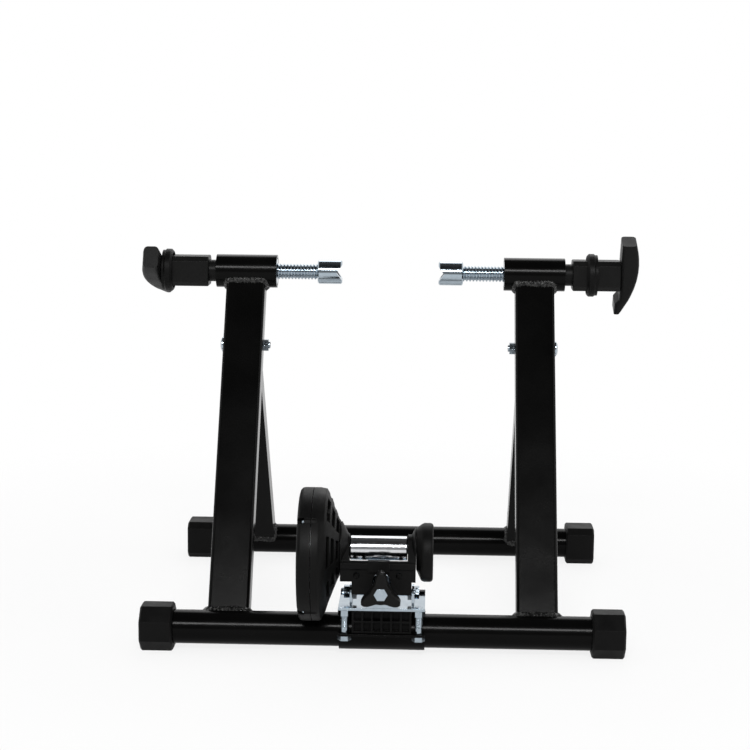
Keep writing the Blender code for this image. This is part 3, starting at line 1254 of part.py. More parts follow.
def make_swivel_nut(holder):
    """Round cross nut that swivels in the yoke's lugs."""
    half = NUT_LUG_INNER_X + NUT_LUG_THICKNESS
    place = (TILT_Y, ADJUST_Z)
    swivel = rod_x(-half, half, SWIVEL_DIAMETER / 2, place, COARSE)
    hole = rod_y(TILT_Y - SWIVEL_DIAMETER, TILT_Y + SWIVEL_DIAMETER,
                 BOLT_RADIUS + SWIVEL_BORE_CLEARANCE, (0, ADJUST_Z), COARSE)
    return named(cut(swivel, hole), "swivel_nut", ZINC, holder)


def knob_outline(grow):
    """Three-armed outline, from a sharpened wave between tip and valley radii."""
    count = 3 * COARSE
    points = []
    for index in range(count):
        angle = math.pi / 2 + 2 * math.pi * index / count
        wave = (1 + math.cos(3 * (angle - math.pi / 2))) / 2
        arm = (KNOB_TIP_RADIUS - KNOB_VALLEY_RADIUS) * wave ** KNOB_LOBE_SHARPNESS
        radius = KNOB_VALLEY_RADIUS + arm + grow
        points.append((radius * math.cos(angle), ADJUST_Z + radius * math.sin(angle)))
    return points


def make_knob(holder):
    """Three-armed knob with a hexagonal pocket for the bolt's head."""
    stations = ((KNOB_FRONT_Y, -KNOB_EDGE), (KNOB_FRONT_Y + KNOB_EDGE / 3, -KNOB_EDGE / 3),
                (KNOB_FRONT_Y + KNOB_EDGE, 0), (KNOB_BACK_Y - KNOB_EDGE, 0), (KNOB_BACK_Y, -KNOB_EDGE))
    sections = [[Vector((x, y, z)) for x, z in knob_outline(grow)] for y, grow in stations]
    knob = make_object("knob", loft(bmesh.new(), sections))
    pocket_depth = KNOB_HEAD_RECESS + GAP
    pocket_outline = moved(hexagon(HEX_ACROSS_FLATS + 2 * GAP), (0, ADJUST_Z))
    pocket_front = KNOB_FRONT_Y - KNOB_EDGE
    pocket = make_object("pocket", prism_y(pocket_outline, pocket_front, KNOB_FRONT_Y + pocket_depth))
    bore = rod_y(KNOB_FRONT_Y - KNOB_EDGE, KNOB_BACK_Y + KNOB_EDGE, BOLT_HOLE_RADIUS, (0, ADJUST_Z), COARSE)
    return named(cut(knob, pocket, bore), "adjust_knob", HANDLE_PLASTIC, holder)


def make_adjust_bolt(holder):
    """Adjusting bolt, its head in the knob, and the nut that keeps it in the tab."""
    head_back = KNOB_FRONT_Y + KNOB_HEAD_RECESS
    head_front = head_back - HEX_HEAD_HEIGHT
    head_front = max(head_front, KNOB_FRONT_Y)
    outline = moved(hexagon(HEX_ACROSS_FLATS), (0, ADJUST_Z))
    head = make_object("head", prism_y(outline, head_front, head_back))
    shank = rod_y((head_front + head_back) / 2, FRONT_Y + ADJUST_BOLT_END, BOLT_RADIUS, (0, ADJUST_Z), COARSE)
    named(join(head, shank), "adjust_bolt", ZINC, holder)
    start = TAB_BACK_Y + GAP
    nut = make_object("nut", prism_y(outline, start, start + NUT_HEIGHT))
    cut(nut, rod_y(start - NUT_HEIGHT, start + 2 * NUT_HEIGHT, BOLT_HOLE_RADIUS, (0, ADJUST_Z), COARSE))
    named(nut, "adjust_nut", ZINC, holder)


def spring_points():
    """Centre line of the spring: a close turn at each end and open turns between."""
    start = KNOB_BACK_Y + GAP + SPRING_WIRE / 2
    end = TAB_FRONT_Y - GAP - SPRING_WIRE / 2
    close_pitch = SPRING_WIRE + 2 * GAP
    free = end - start - 2 * close_pitch
    steps = SPRING_TURN_COUNT * SPRING_POINT_COUNT
    points = []
    for index in range(steps + 1):
        turns = index / SPRING_POINT_COUNT
        open_share = min(max((turns - 1) / (SPRING_TURN_COUNT - 2), 0), 1)
        close_share = min(turns, 1) + max(turns - SPRING_TURN_COUNT + 1, 0)
        angle = 2 * math.pi * turns
        y = start + close_pitch * close_share + free * open_share
        height = ADJUST_Z + SPRING_RADIUS * math.sin(angle)
        points.append(Vector((SPRING_RADIUS * math.cos(angle), y, height)))
    return points


def least_spring_gap(points):
    """Least space between the spring's turns, measured between points a half turn or more apart."""
    apart = SPRING_POINT_COUNT // 2
    distances = []
    for index, point in enumerate(points):
        for other in points[index + apart:]:
            distances.append((point - other).length)
    return min(distances) - SPRING_WIRE


def make_spring():
    """Helical spring between the knob and the bracket's tab."""
    points = spring_points()
    print("spring least gap mm", round(least_spring_gap(points) / MILLIMETRE, 3))
    curve = bpy.data.curves.new("adjust_spring", "CURVE")
    curve.dimensions = "3D"
    curve.bevel_depth = SPRING_WIRE / 2
    curve.bevel_resolution = 1
    curve.use_fill_caps = True
    line = curve.splines.new("POLY")
    line.points.add(len(points) - 1)
    for place, point in zip(line.points, points):
        place.co = (*point, 1.0)
    item = bpy.data.objects.new("adjust_spring", curve)
    bpy.context.collection.objects.link(item)
    curve.materials.append(make_material("adjust_spring", *SPRING_STEEL))
    return item


def make_frame():
    """Front frame, which stands still, and the folding rear frame."""
    fold = make_empty("rear_fold_axis", LEG_PIVOT)
    make_bar("front_bar", (FRONT_Y, FRONT_BAR_Z))
    make_bar("rear_bar", (REAR_Y, REAR_BAR_Z), fold)
    for word, side in SIDES:
        make_foot(word + "_front_foot", side, (FRONT_Y, FRONT_BAR_Z), FRONT_FOOT_WIDTH, FRONT_FOOT_CHAMFER)
        make_foot(word + "_rear_foot", side, (REAR_Y, REAR_BAR_Z), REAR_FOOT_WIDTH, REAR_FOOT_CHAMFER, fold)
        make_upright(word + "_upright", side)
        make_sleeve(word + "_sleeve", side)
        make_thread_bush(word + "_thread_bush", side)
        make_leg(word + "_rear_leg", side, fold)
    make_leg_pivots(fold)


def make_clamps():
    """Left and right axle clamps."""
    sides = (("left", -1, LEFT_HANDLE_ANGLE, LEFT_RING_INSET),
             ("right", 1, RIGHT_HANDLE_ANGLE, RIGHT_RING_INSET))
    for word, side, angle, inset in sides:
        axis = make_empty(word + "_clamp_axis", Vector((side * CUP_BACK_X, AXLE_Y, AXLE_HEIGHT)))
        make_cup(word + "_cup", side, axis)
        make_rod(word + "_rod", side, axis)
        make_barrel(word + "_barrel", side, axis)
        make_handle(word + "_handle", side, axis, angle)
        make_lock_ring(word + "_lock_ring", side, axis, inset)


def make_brake_unit():
    """Bracket on the front bar and the tilting brake unit in it."""
    tilt_axis = make_empty("unit_tilt_axis", Vector((0, TILT_Y, TILT_HEIGHT)))
    shaft_axis = make_empty("shaft_axis", Vector((0, SHAFT_Y, SHAFT_HEIGHT)))
    swivel_axis = make_empty("swivel_axis", Vector((0, TILT_Y, ADJUST_Z)))
    knob_axis = make_empty("knob_axis", Vector((0, KNOB_BACK_Y, ADJUST_Z)))
    make_saddle()
    make_bracket()
    make_strap()
    make_clamp_fasteners()
    make_tilt_pivot()
    make_yoke(tilt_axis)
    make_yoke_screws(tilt_axis)
    make_bearings(tilt_axis)
    make_housing_inner(tilt_axis)
    make_housing_outer(tilt_axis)
    make_magnets(tilt_axis)
    make_drum_cover(tilt_axis)
    make_rotor(shaft_axis)
    make_swivel_nut(swivel_axis)
    make_knob(knob_axis)
    make_adjust_bolt(knob_axis)
    make_spring()


clear_scene()
make_frame()
make_clamps()
make_brake_unit()
bpy.context.view_layer.update()
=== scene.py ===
"""Looks of a folding bike trainer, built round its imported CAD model. Lengths are in metres."""

import json
import math

import bmesh
import bpy
from mathutils import Matrix, Vector, noise


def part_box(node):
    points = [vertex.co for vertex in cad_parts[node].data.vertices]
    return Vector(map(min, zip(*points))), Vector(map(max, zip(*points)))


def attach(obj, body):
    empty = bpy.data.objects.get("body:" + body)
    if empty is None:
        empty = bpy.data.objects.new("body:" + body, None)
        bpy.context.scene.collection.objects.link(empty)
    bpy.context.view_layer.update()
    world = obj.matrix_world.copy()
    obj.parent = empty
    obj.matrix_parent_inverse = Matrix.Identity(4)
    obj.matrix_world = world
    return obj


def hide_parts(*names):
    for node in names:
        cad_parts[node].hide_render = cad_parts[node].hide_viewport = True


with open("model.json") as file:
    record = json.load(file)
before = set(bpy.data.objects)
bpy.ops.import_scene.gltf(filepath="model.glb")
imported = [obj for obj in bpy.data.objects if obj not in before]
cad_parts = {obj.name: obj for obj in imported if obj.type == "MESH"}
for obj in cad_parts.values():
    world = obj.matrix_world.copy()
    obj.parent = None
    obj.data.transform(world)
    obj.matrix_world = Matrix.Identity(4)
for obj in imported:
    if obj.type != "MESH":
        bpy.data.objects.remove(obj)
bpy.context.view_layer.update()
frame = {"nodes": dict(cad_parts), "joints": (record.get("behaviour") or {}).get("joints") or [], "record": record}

SLOT_OF = {part["node"]: part["material_slot"] for part in frame["record"]["subparts"]}
BODY_OF = {node: body for body, nodes in frame["record"]["behaviour"]["bodies"].items()
           for node in nodes}
WORDS = ("left", "right")
MILLIMETRE = 0.001
X_AXIS = Vector((1, 0, 0))

# Camera, from the floor bars and the clamp line of the photograph
IMAGE_WIDTH = 750
FOCAL_PIXELS = 1882.3
SENSOR_WIDTH = 36.0
CAMERA_PLACE = Vector((0.04891, -2.22372, 0.63800))
CAMERA_YAW = -0.02916
CAMERA_PITCH = 0.15625
CAMERA_ROLL = 0.01002

# Nodes whose roundness shows, alone and in left and right pairs
ROUND_NODES = ("front_bar", "rear_bar", "housing_inner", "housing_outer", "drum_cover", "roller",
               "adjust_knob", "adjust_spring", "unit_yoke", "clamp_strap", "unit_bracket", "swivel_nut")
ROUND_PAIRS = ("upright", "sleeve", "thread_bush", "cup", "barrel", "handle", "lock_ring", "rear_leg",
               "front_foot", "rear_foot", "leg_bolt", "bearing")
JOIN_DISTANCE = MILLIMETRE / 100

# Angles in degrees: faces that turn by less than the first are one, and edges above the others are sharp
FLAT_ANGLE = 0.4
FORM_SHARP_ANGLE = 33
SHADE_SHELL_SHARP_ANGLE = 40
SCREW_SHARP_ANGLE = 50
THREAD_SHARP_ANGLE = 60
BEAD_SHARP_ANGLE = 70

# Welded tubes, and how far an upright's axis lies behind the axes of its bar and its sleeve
UPRIGHT_WIDTH = 0.047
UPRIGHT_DEPTH = 0.030
UPRIGHT_FOOT_OFFSET = 0.0143
UPRIGHT_HEAD_OFFSET = 0.0045
LEG_WIDTH = 0.038
LEG_DEPTH = 0.025
TUBE_CORNER = 0.004
TUBE_CORNER_STEPS = 4

# Weld beads, which ripple along their path, wander in size and are thinner at an open end
BEAD_RADIUS = 0.0056
BEAD_FLATNESS = 0.6
BEAD_SIDES = 10
BEAD_STEP = 0.0008
BEAD_RIPPLE = 0.0015
BEAD_RIPPLE_PITCH = 0.0042
BEAD_WANDER = 0.22
BEAD_WANDER_SCALE = 180
BEAD_END_SHARE = 0.35
BEAD_END_GROWTH = 0.25
BEAD_CLOSING_GAP = 3 * BEAD_STEP
BEAD_BAR_MARGIN = MILLIMETRE / 2
FOOT_WELD_SIZE = 1.1
FOOT_WELD_SIDE_SPREAD = 0.001
FOOT_WELD_FRONT_SPREAD = 0.0035

# Threads: depth, corners round a turn, rows along a turn, and the run over which an end fades.
# A thread's height rises by the slope from its root, less the share that stays flat there.
CLAMP_THREAD = {"depth": 0.0018, "sides": 36, "steps": 12, "run": 0.003}
BOLT_THREAD_PITCH = 0.00125
BOLT_THREAD = {"depth": 0.00035, "sides": 28, "steps": 8, "run": BOLT_THREAD_PITCH / 2}
BOLT_RADIUS = 0.004
CLAMP_BOLT_THREAD_LENGTH = 0.014
THREAD_SLOPE = 4.0
THREAD_ROOT_FLAT = 0.45

# The housing's rim, its screws with their pockets, and the yoke's screws
RIM_RADIUS = 0.0737
RIM_DROP = 0.0076
HOUSING_SCREW_INSET = 0.0035
HOUSING_SCREW_ANGLES = (43, 133, -47, -137)
HOUSING_SCREW_RADIUS = 0.0029
HOUSING_SCREW_RISE = 0.0026
SCREW_POCKET_DEPTH = 0.008
SCREW_POCKET_WIDTH = 0.0076
SCREW_POCKET_INSET = 0.0085
YOKE_SCREW_RISE = 0.0026
SCREW_RINGS = 14
SCREW_SIDES = 56
SCREW_CROWN_POWER = 3.2
CROSS_WIDTH_SHARE = 0.14
CROSS_LENGTH_SHARE = 0.55
CROSS_DEPTH_SHARE = 0.55
POCKET_MARGIN = MILLIMETRE

# Ribbed dark shell behind the housing's vents, a painted shade that stands in for the dark inside
SHADE_SHELL_WIDE_X = -0.0624
SHADE_SHELL_WIDE_RADIUS = 0.0594
SHADE_SHELL_NARROW_X = -0.0495
SHADE_SHELL_NARROW_RADIUS = 0.0298
SHADE_SHELL_THICKNESS = 0.001
SHADE_SHELL_RIB_COUNT = 42
SHADE_SHELL_RIB_DEPTH = 0.0006
SHADE_SHELL_SIDES = 168

# Plastics and metals by slot: darkest and lightest colour, roughness, and depth of grain or tool marks
PLASTICS = {
    "black_plastic": ((0.0024, 0.0024, 0.0024), (0.0046, 0.0046, 0.0045), 0.46, 0.00005),
    "handle_plastic": ((0.0048, 0.0048, 0.0048), (0.0074, 0.0074, 0.0072), 0.38, 0.00003),
}
PLAIN_METALS = {
    "zinc_plate": ((0.32, 0.38, 0.43), (0.48, 0.55, 0.61), 0.12, 0.00001),
    "magnet": ((0.24, 0.24, 0.26), (0.34, 0.34, 0.36), 0.33, 0.00002),
    "spring_steel": ((0.34, 0.35, 0.37), (0.46, 0.47, 0.49), 0.27, 0.00002),
}
TURNED_METALS = {
    "chrome_roller": ((0.60, 0.61, 0.63), (0.72, 0.73, 0.75), 0.13, 0.000004),
    "bare_steel": ((0.40, 0.41, 0.43), (0.52, 0.53, 0.55), 0.30, 0.00003),
    "aluminium_disc": ((0.72, 0.73, 0.74), (0.84, 0.85, 0.86), 0.28, 0.00002),
}

# Colours of paint, coated weld with paler specks painted on as highlights, and nylon
PAINT_DARK = (0.0012, 0.0012, 0.0012)
PAINT_LIGHT = (0.0024, 0.0024, 0.0023)
PAINT_RUBBED = (0.010, 0.010, 0.010)
WELD_DARK = (0.001, 0.001, 0.001)
WELD_PAINTED_GLINT = (0.032, 0.032, 0.031)
NYLON_DARK = (0.66, 0.66, 0.62)
NYLON_LIGHT = (0.78, 0.78, 0.75)

# How a finish varies: the span that a noise covers, its stretch, edges, mottle, polish and painted shade in
# hollows
NOISE_LOW = 0.3
NOISE_HIGH = 0.7
EVEN = (1, 1, 1)
RINGS_ROUND_X = (1, 0.02, 0.02)
FLOW_ALONG_X = (1, 4, 4)
EDGE_SAMPLES = 4
WORN_GAIN = 1.4
MOTTLE_SPREAD = 0.06
POLISH_BELOW = 0.05
POLISH_ABOVE = 0.07
# Painted shade in hollows: how far ambient occlusion looks, and the share of the dark colour left there
PAINTED_SHADE_DISTANCE = 0.0015
PAINTED_SHADE_SHARE = 0.15

# White world: its strength for diffuse light, and the darker ceiling and front that reflections see
WHITE = (1, 1, 1, 1)
DIFFUSE_STRENGTH = 0.45
CEILING_SHADE = 0.06
CEILING_SPAN = (0.58, 0.80)
FRONT_SHADE = 0.25
FRONT_SPAN = (-0.40, 0.10)

# Floor: its share of white near the object, and the distances between which that grows to the whole
FLOOR_HALF = 12.0
FLOOR_DROP = MILLIMETRE / 10
FLOOR_COLOUR = (0.88, 0.88, 0.88, 1)
FLOOR_CAMERA_SHARE = 0.82
FLOOR_GLOSSY_SHARE = 0.20
FLOOR_FADE_START = 0.45
FLOOR_FADE_END = 1.1

# Lamps: name, place, width and height, and power in watts
LAMPS = (
    ("key", (0, -4.8, 3.55), (3.0, 0.80), 220),
    ("side", (-2.3, -0.9, 1.8), (1.2, 1.2), 5),
    ("fill", (2.3, -0.9, 1.6), (1.2, 1.2), 9),
    ("back", (0.2, 2.2, 2.2), (1.8, 1.8), 18),
)
LAMP_TARGET = (0, 0, 0.2)


# Node materials


class Tree:
    """Node tree of a material or a world, with the nodes that several of them share."""

    def __init__(self, owner):
        owner.use_nodes = True
        self.owner = owner
        self.nodes = owner.node_tree.nodes
        self.places = self.add("ShaderNodeTexCoord").outputs

    def add(self, kind, inputs=None):
        """New node of a kind, with its inputs."""
        node = self.nodes.new(kind)
        self.fill(node, inputs or {})
        return node

    def fill(self, node, inputs):
        """Give each named or numbered input its value, or a link where that is a socket."""
        for key, value in inputs.items():
            self.put(node.inputs[key], value)

    def put(self, socket, value):
        """Link a socket to another, or set its value."""
        if isinstance(value, bpy.types.NodeSocket):
            self.owner.node_tree.links.new(value, socket)
        else:
            socket.default_value = value

    def noise(self, scale, detail, stretch=EVEN):
        """Value of a noise at a number of features per metre, stretched along the axes."""
        mapping = self.add("ShaderNodeMapping", {"Vector": self.places["Object"], "Scale": stretch})
        texture = self.add("ShaderNodeTexNoise", {"Vector": mapping.outputs["Vector"],
                                                  "Scale": scale, "Detail": detail})
        return texture.outputs["Fac"]

    def ranged(self, value, low, high, start=NOISE_LOW, end=NOISE_HIGH):
        """Value mapped from a span, start to end, to low and high, and held at its ends."""
        node = self.add("ShaderNodeMapRange", {"Value": value, "From Min": start, "From Max": end,
                                               "To Min": low, "To Max": high})
        return node.outputs["Result"]

    def mixed(self, factor, first, second):
        """Colour between two, each a colour or a socket, by a factor."""
        node = self.add("ShaderNodeMix", {0: factor})
        node.data_type = "RGBA"
        colour_inputs = [socket for socket in node.inputs if socket.type == "RGBA"]
        for socket, colour in zip(colour_inputs, (first, second)):
            self.put(socket, (*colour, 1) if isinstance(colour, tuple) else colour)
        return [socket for socket in node.outputs if socket.type == "RGBA"][0]

    def edges(self, radius, start, end):
        """Normal rounded within a radius, and where the surface turns sharply there."""
        bevel = self.add("ShaderNodeBevel", {"Radius": radius})
        bevel.samples = EDGE_SAMPLES
        rounded = bevel.outputs["Normal"]
        plain = self.add("ShaderNodeNewGeometry").outputs["Normal"]
        likeness = self.add("ShaderNodeVectorMath", {0: rounded, 1: plain})
        likeness.operation = "DOT_PRODUCT"
        return rounded, self.ranged(likeness.outputs["Value"], 1.0, 0.0, start, end)

    def bumped(self, height, distance, normal=None):
        """Normal disturbed by a height, whose step from 0 to 1 is a distance in metres."""
        bump = self.add("ShaderNodeBump", {"Height": height, "Distance": distance})
        if normal is not None:
            self.put(bump.inputs["Normal"], normal)
        return bump.outputs["Normal"]

    def combined(self, operation, first, second):
        """Result of an operation on two values."""
        node = self.add("ShaderNodeMath", {0: first, 1: second})
        node.operation = operation
        return node.outputs[0]

    def shade(self, inputs):
        """The finished material, once its shader has these inputs."""
        self.fill(self.nodes["Principled BSDF"], inputs)
        return self.owner


def powder_coat():
    """Gloss black powder coat: soft orange peel, and a faint rub along the edges."""
    tree = Tree(bpy.data.materials.new("black_paint"))
    peel = tree.noise(scale=420, detail=2)
    cloud = tree.noise(scale=18, detail=4)
    normal, edge = tree.edges(radius=0.0009, start=0.80, end=0.97)
    body = tree.mixed(cloud, PAINT_DARK, PAINT_LIGHT)
    return tree.shade({
        "Base Color": tree.mixed(edge, body, PAINT_RUBBED),
        "Roughness": tree.ranged(cloud, low=0.15, high=0.21),
        "Normal": tree.bumped(peel, distance=0.00003, normal=normal),
        "Specular IOR Level": 0.07,
    })


def coated_weld():
    """Powder coat over a weld bead: lumpier than on the plain tube, with paler specks painted on its lumps as
    highlights.
    """
    tree = Tree(bpy.data.materials.new("coated_weld"))
    lump = tree.noise(scale=330, detail=3)
    # Painted highlights: the paler colour goes on the tops of the lumps, where glints would fall
    painted_glints = tree.ranged(lump, low=0.0, high=1.0, start=0.42, end=0.62)
    return tree.shade({
        "Base Color": tree.mixed(painted_glints, WELD_DARK, WELD_PAINTED_GLINT),
        "Roughness": tree.ranged(lump, low=0.18, high=0.32),
        "Normal": tree.bumped(lump, distance=0.0008),
        "Specular IOR Level": 0.30,
    })


def moulded(name, dark, light, roughness, grain_depth):
    """Black moulded plastic: fine spark grain, mottled roughness and paler worn edges."""
    tree = Tree(bpy.data.materials.new(name))
    grain = tree.noise(scale=2600, detail=2)
    mottle = tree.noise(scale=60, detail=4)
    normal, edge = tree.edges(radius=0.0007, start=0.82, end=0.98)
    body = tree.mixed(mottle, dark, light)
    worn = tuple(WORN_GAIN * value for value in light)
    return tree.shade({
        "Base Color": tree.mixed(edge, body, worn),
        "Roughness": tree.ranged(mottle, roughness - MOTTLE_SPREAD, roughness + MOTTLE_SPREAD),
        "Normal": tree.bumped(grain, grain_depth, normal),
        "Specular IOR Level": 0.09,
    })


def metal(name, dark, light, roughness, mark_depth, stretch):
    """Bare or plated metal: tool marks, cloudy tint, mottled polish and painted shade in its hollows."""
    tree = Tree(bpy.data.materials.new(name))
    marks = tree.noise(scale=1500, detail=2, stretch=stretch)
    cloud = tree.noise(scale=140, detail=4)
    bloom = tree.noise(scale=520, detail=2)
    tint = tree.mixed(cloud, dark, light)
    # Painted shade: hollows that ambient occlusion finds get a darker base colour
    hollow = tree.add("ShaderNodeAmbientOcclusion", {"Distance": PAINTED_SHADE_DISTANCE})
    unshaded = tree.ranged(hollow.outputs["AO"], low=0.0, high=1.0, start=0.25, end=0.80)
    painted_shade = tuple(PAINTED_SHADE_SHARE * value for value in dark)
    normal, _ = tree.edges(radius=0.0004, start=0.85, end=0.98)
    return tree.shade({
        "Base Color": tree.mixed(unshaded, painted_shade, tint),
        "Roughness": tree.ranged(bloom, roughness - POLISH_BELOW, roughness + POLISH_ABOVE),
        "Normal": tree.bumped(marks, mark_depth, normal),
        "Metallic": 1.0,
    })


def nylon():
    """Natural nylon: milky, a little translucent, with faint flow marks."""
    tree = Tree(bpy.data.materials.new("nylon"))
    flow = tree.noise(scale=240, detail=4, stretch=FLOW_ALONG_X)
    return tree.shade({
        "Base Color": tree.mixed(flow, NYLON_DARK, NYLON_LIGHT),
        "Roughness": tree.ranged(flow, low=0.38, high=0.52),
        "Normal": tree.bumped(flow, distance=0.00004),
        "Subsurface Weight": 0.15,
        "Subsurface Scale": 0.002,
    })


def make_materials():
    """Material for each of the record's slots."""
    materials = {"black_paint": powder_coat(), "nylon": nylon()}
    for slot, finish in PLASTICS.items():
        materials[slot] = moulded(slot, *finish)
    for slot, finish in PLAIN_METALS.items():
        materials[slot] = metal(slot, *finish, EVEN)
    for slot, finish in TURNED_METALS.items():
        materials[slot] = metal(slot, *finish, RINGS_ROUND_X)
    return materials


MATERIALS = make_materials()
WELD_COAT = coated_weld()


def dress_frame():
    """Give each CAD node the material of its slot."""
    for name, node in frame["nodes"].items():
        for holder in node.material_slots:
            holder.material = MATERIALS[SLOT_OF[name]]


# Help with meshes and places


def centre_of(node):
    """Middle of a CAD node's box."""
    low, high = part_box(node)
    return (low + high) / 2


def circle(count):
    """Cosine and sine of evenly spaced angles round a circle."""
    angles = [2 * math.pi * index / count for index in range(count)]
    return [(math.cos(angle), math.sin(angle)) for angle in angles]


def join_rings(mesh_data, rings, closed=False):
    """Faces from each ring of corners to the next, and from the last to the first if closed."""
    count = len(rings[0])
    next_rings = rings[1:] + rings[:1] if closed else rings[1:]
    for first, second in zip(rings, next_rings):
        for index in range(count):
            following = (index + 1) % count
            mesh_data.faces.new((first[index], first[following], second[following], second[index]))


def new_piece(name, mesh_data, slot, body, sharp_angle):
    """Piece from mesh data, with its finish, on its body."""
    bmesh.ops.recalc_face_normals(mesh_data, faces=mesh_data.faces)
    mesh = bpy.data.meshes.new(name)
    mesh_data.to_mesh(mesh)
    mesh_data.free()
    mesh.materials.append(MATERIALS[slot])
    item = bpy.data.objects.new(name, mesh)
    bpy.context.collection.objects.link(item)
    mesh.shade_smooth()
    mesh.set_sharp_from_angle(angle=math.radians(sharp_angle))
    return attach(item, body)


# Evenly shaded forms of the round nodes


def welded(node):
    """Mesh data of a CAD node, with its corners joined and its flat faces whole."""
    source = frame["nodes"][node].data
    mesh = bpy.data.meshes.new(node)
    mesh.from_pydata([vertex.co for vertex in source.vertices], [],
                     [face.vertices for face in source.polygons])
    mesh_data = bmesh.new()
    mesh_data.from_mesh(mesh)
    bpy.data.meshes.remove(mesh)
    bmesh.ops.remove_doubles(mesh_data, verts=mesh_data.verts, dist=JOIN_DISTANCE)
    bmesh.ops.dissolve_limit(mesh_data, angle_limit=math.radians(FLAT_ANGLE), verts=mesh_data.verts,
                             edges=mesh_data.edges)
    return mesh_data


def loose_object(name, mesh_data):
    """Object of mesh data, for a modifier to work on."""
    item = bpy.data.objects.new(name, bpy.data.meshes.new(name))
    mesh_data.to_mesh(item.data)
    mesh_data.free()
    bpy.context.collection.objects.link(item)
    return item


def with_pockets(mesh_data, pockets):
    """Mesh data with closed pockets cut out of it."""
    holder = loose_object("pocketed", mesh_data)
    cutters = [loose_object("pocket", pocket) for pocket in pockets]
    for cutter in cutters:
        modifier = holder.modifiers.new("pocket", "BOOLEAN")
        modifier.operation = "DIFFERENCE"
        modifier.object = cutter
    result = bmesh.new()
    result.from_object(holder, bpy.context.evaluated_depsgraph_get())
    for item in (holder, *cutters):
        bpy.data.objects.remove(item)
    return result


def make_round_forms():
    """Evenly shaded forms in place of the CAD nodes whose roundness shows."""
    pairs = [word + "_" + kind for word in WORDS for kind in ROUND_PAIRS]
    for name in (*ROUND_NODES, *pairs):
        mesh_data = welded(name)
        if name == "housing_outer":
            mesh_data = with_pockets(mesh_data, screw_pockets())
        item = new_piece(name + "_form", mesh_data, SLOT_OF[name], BODY_OF[name], FORM_SHARP_ANGLE)
        even = item.modifiers.new("even", "WEIGHTED_NORMAL")
        even.keep_sharp = True
        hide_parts(name)


# Weld beads


def rectangle_path(half_width, half_depth, corner, step):
    """Closed path round a rectangle with round corners, at even steps."""
    corners = ((half_width, half_depth, 0), (-half_width, half_depth, 90),
               (-half_width, -half_depth, 180), (half_width, -half_depth, 270))
    rough = []
    for x, y, start in corners:
        centre = Vector((x - math.copysign(corner, x), y - math.copysign(corner, y)))
        for index in range(TUBE_CORNER_STEPS + 1):
            angle = math.radians(start + 90 * index / TUBE_CORNER_STEPS)
            rough.append(centre + corner * Vector((math.cos(angle), math.sin(angle))))
    path = []
    for first, second in zip(rough, rough[1:] + rough[:1]):
        count = max(1, round((second - first).length / step))
        path += [first.lerp(second, index / count) for index in range(count)]
    return path


def rearward(along):
    """Direction to the rear, square to a tube's length and to the X axis."""
    back = along.cross(X_AXIS).normalized()
    return -back if back.y < 0 else back


def bead_path(origin, direction, half_width, half_depth, bar):
    """Places with outward directions where a tube's skin meets a round bar, and whether they close."""
    low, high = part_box(bar)
    centre = (low + high) / 2
    radius = (high.z - low.z) / 2
    back = rearward(direction)
    runs = [[]]
    for across, along in rectangle_path(half_width, half_depth, TUBE_CORNER, BEAD_STEP):
        skin = X_AXIS * across + back * along
        start = origin + skin
        offset = start - centre
        offset.x = 0
        reach = offset.dot(direction)
        miss = offset.length_squared - reach * reach
        if miss >= (radius - BEAD_BAR_MARGIN) ** 2:
            if runs[-1]:
                runs.append([])
            continue
        hit = start + direction * (math.sqrt(radius * radius - miss) - reach)
        outward = (hit - Vector((hit.x, centre.y, centre.z))).normalized()
        runs[-1].append((hit, (outward + skin.normalized()).normalized()))
    runs = [run for run in runs if run]
    closed = len(runs) == 1 and (runs[0][0][0] - runs[0][-1][0]).length < BEAD_CLOSING_GAP
    if len(runs) > 1 and (runs[0][0][0] - runs[-1][-1][0]).length < BEAD_CLOSING_GAP:
        runs = [runs[-1] + runs[0]] + runs[1:-1]
    return max(runs, key=len), closed


def weld_bead(name, body, path, closed, size=1.0):
    """Rippled bead along a path, thinner towards its ends where it is open."""
    mesh_data = bmesh.new()
    rings = []
    count = len(path)
    travelled = 0.0
    for index, (place, outward) in enumerate(path):
        before = path[index - 1][0] if index or closed else place
        after = path[(index + 1) % count][0] if index + 1 < count or closed else place
        forward = (after - before).normalized()
        across = forward.cross(outward).normalized()
        up = across.cross(forward)
        ripple = BEAD_RIPPLE * abs(math.sin(math.pi * travelled / BEAD_RIPPLE_PITCH))
        wander = BEAD_WANDER * noise.noise(place * BEAD_WANDER_SCALE)
        from_end = count if closed else min(index, count - 1 - index)
        thinning = min(1.0, BEAD_END_SHARE + BEAD_END_GROWTH * from_end)
        radius = (BEAD_RADIUS * (1 + wander) - ripple) * thinning * size
        ring = []
        for cosine, sine in circle(BEAD_SIDES):
            offset = across * cosine + up * sine * BEAD_FLATNESS
            ring.append(mesh_data.verts.new(place + offset * radius))
        rings.append(ring)
        travelled += (after - place).length
    join_rings(mesh_data, rings, closed)
    if not closed:
        mesh_data.faces.new(rings[0])
        mesh_data.faces.new(rings[-1][::-1])
    bead = new_piece(name, mesh_data, "black_paint", body, BEAD_SHARP_ANGLE)
    bead.data.materials[0] = WELD_COAT


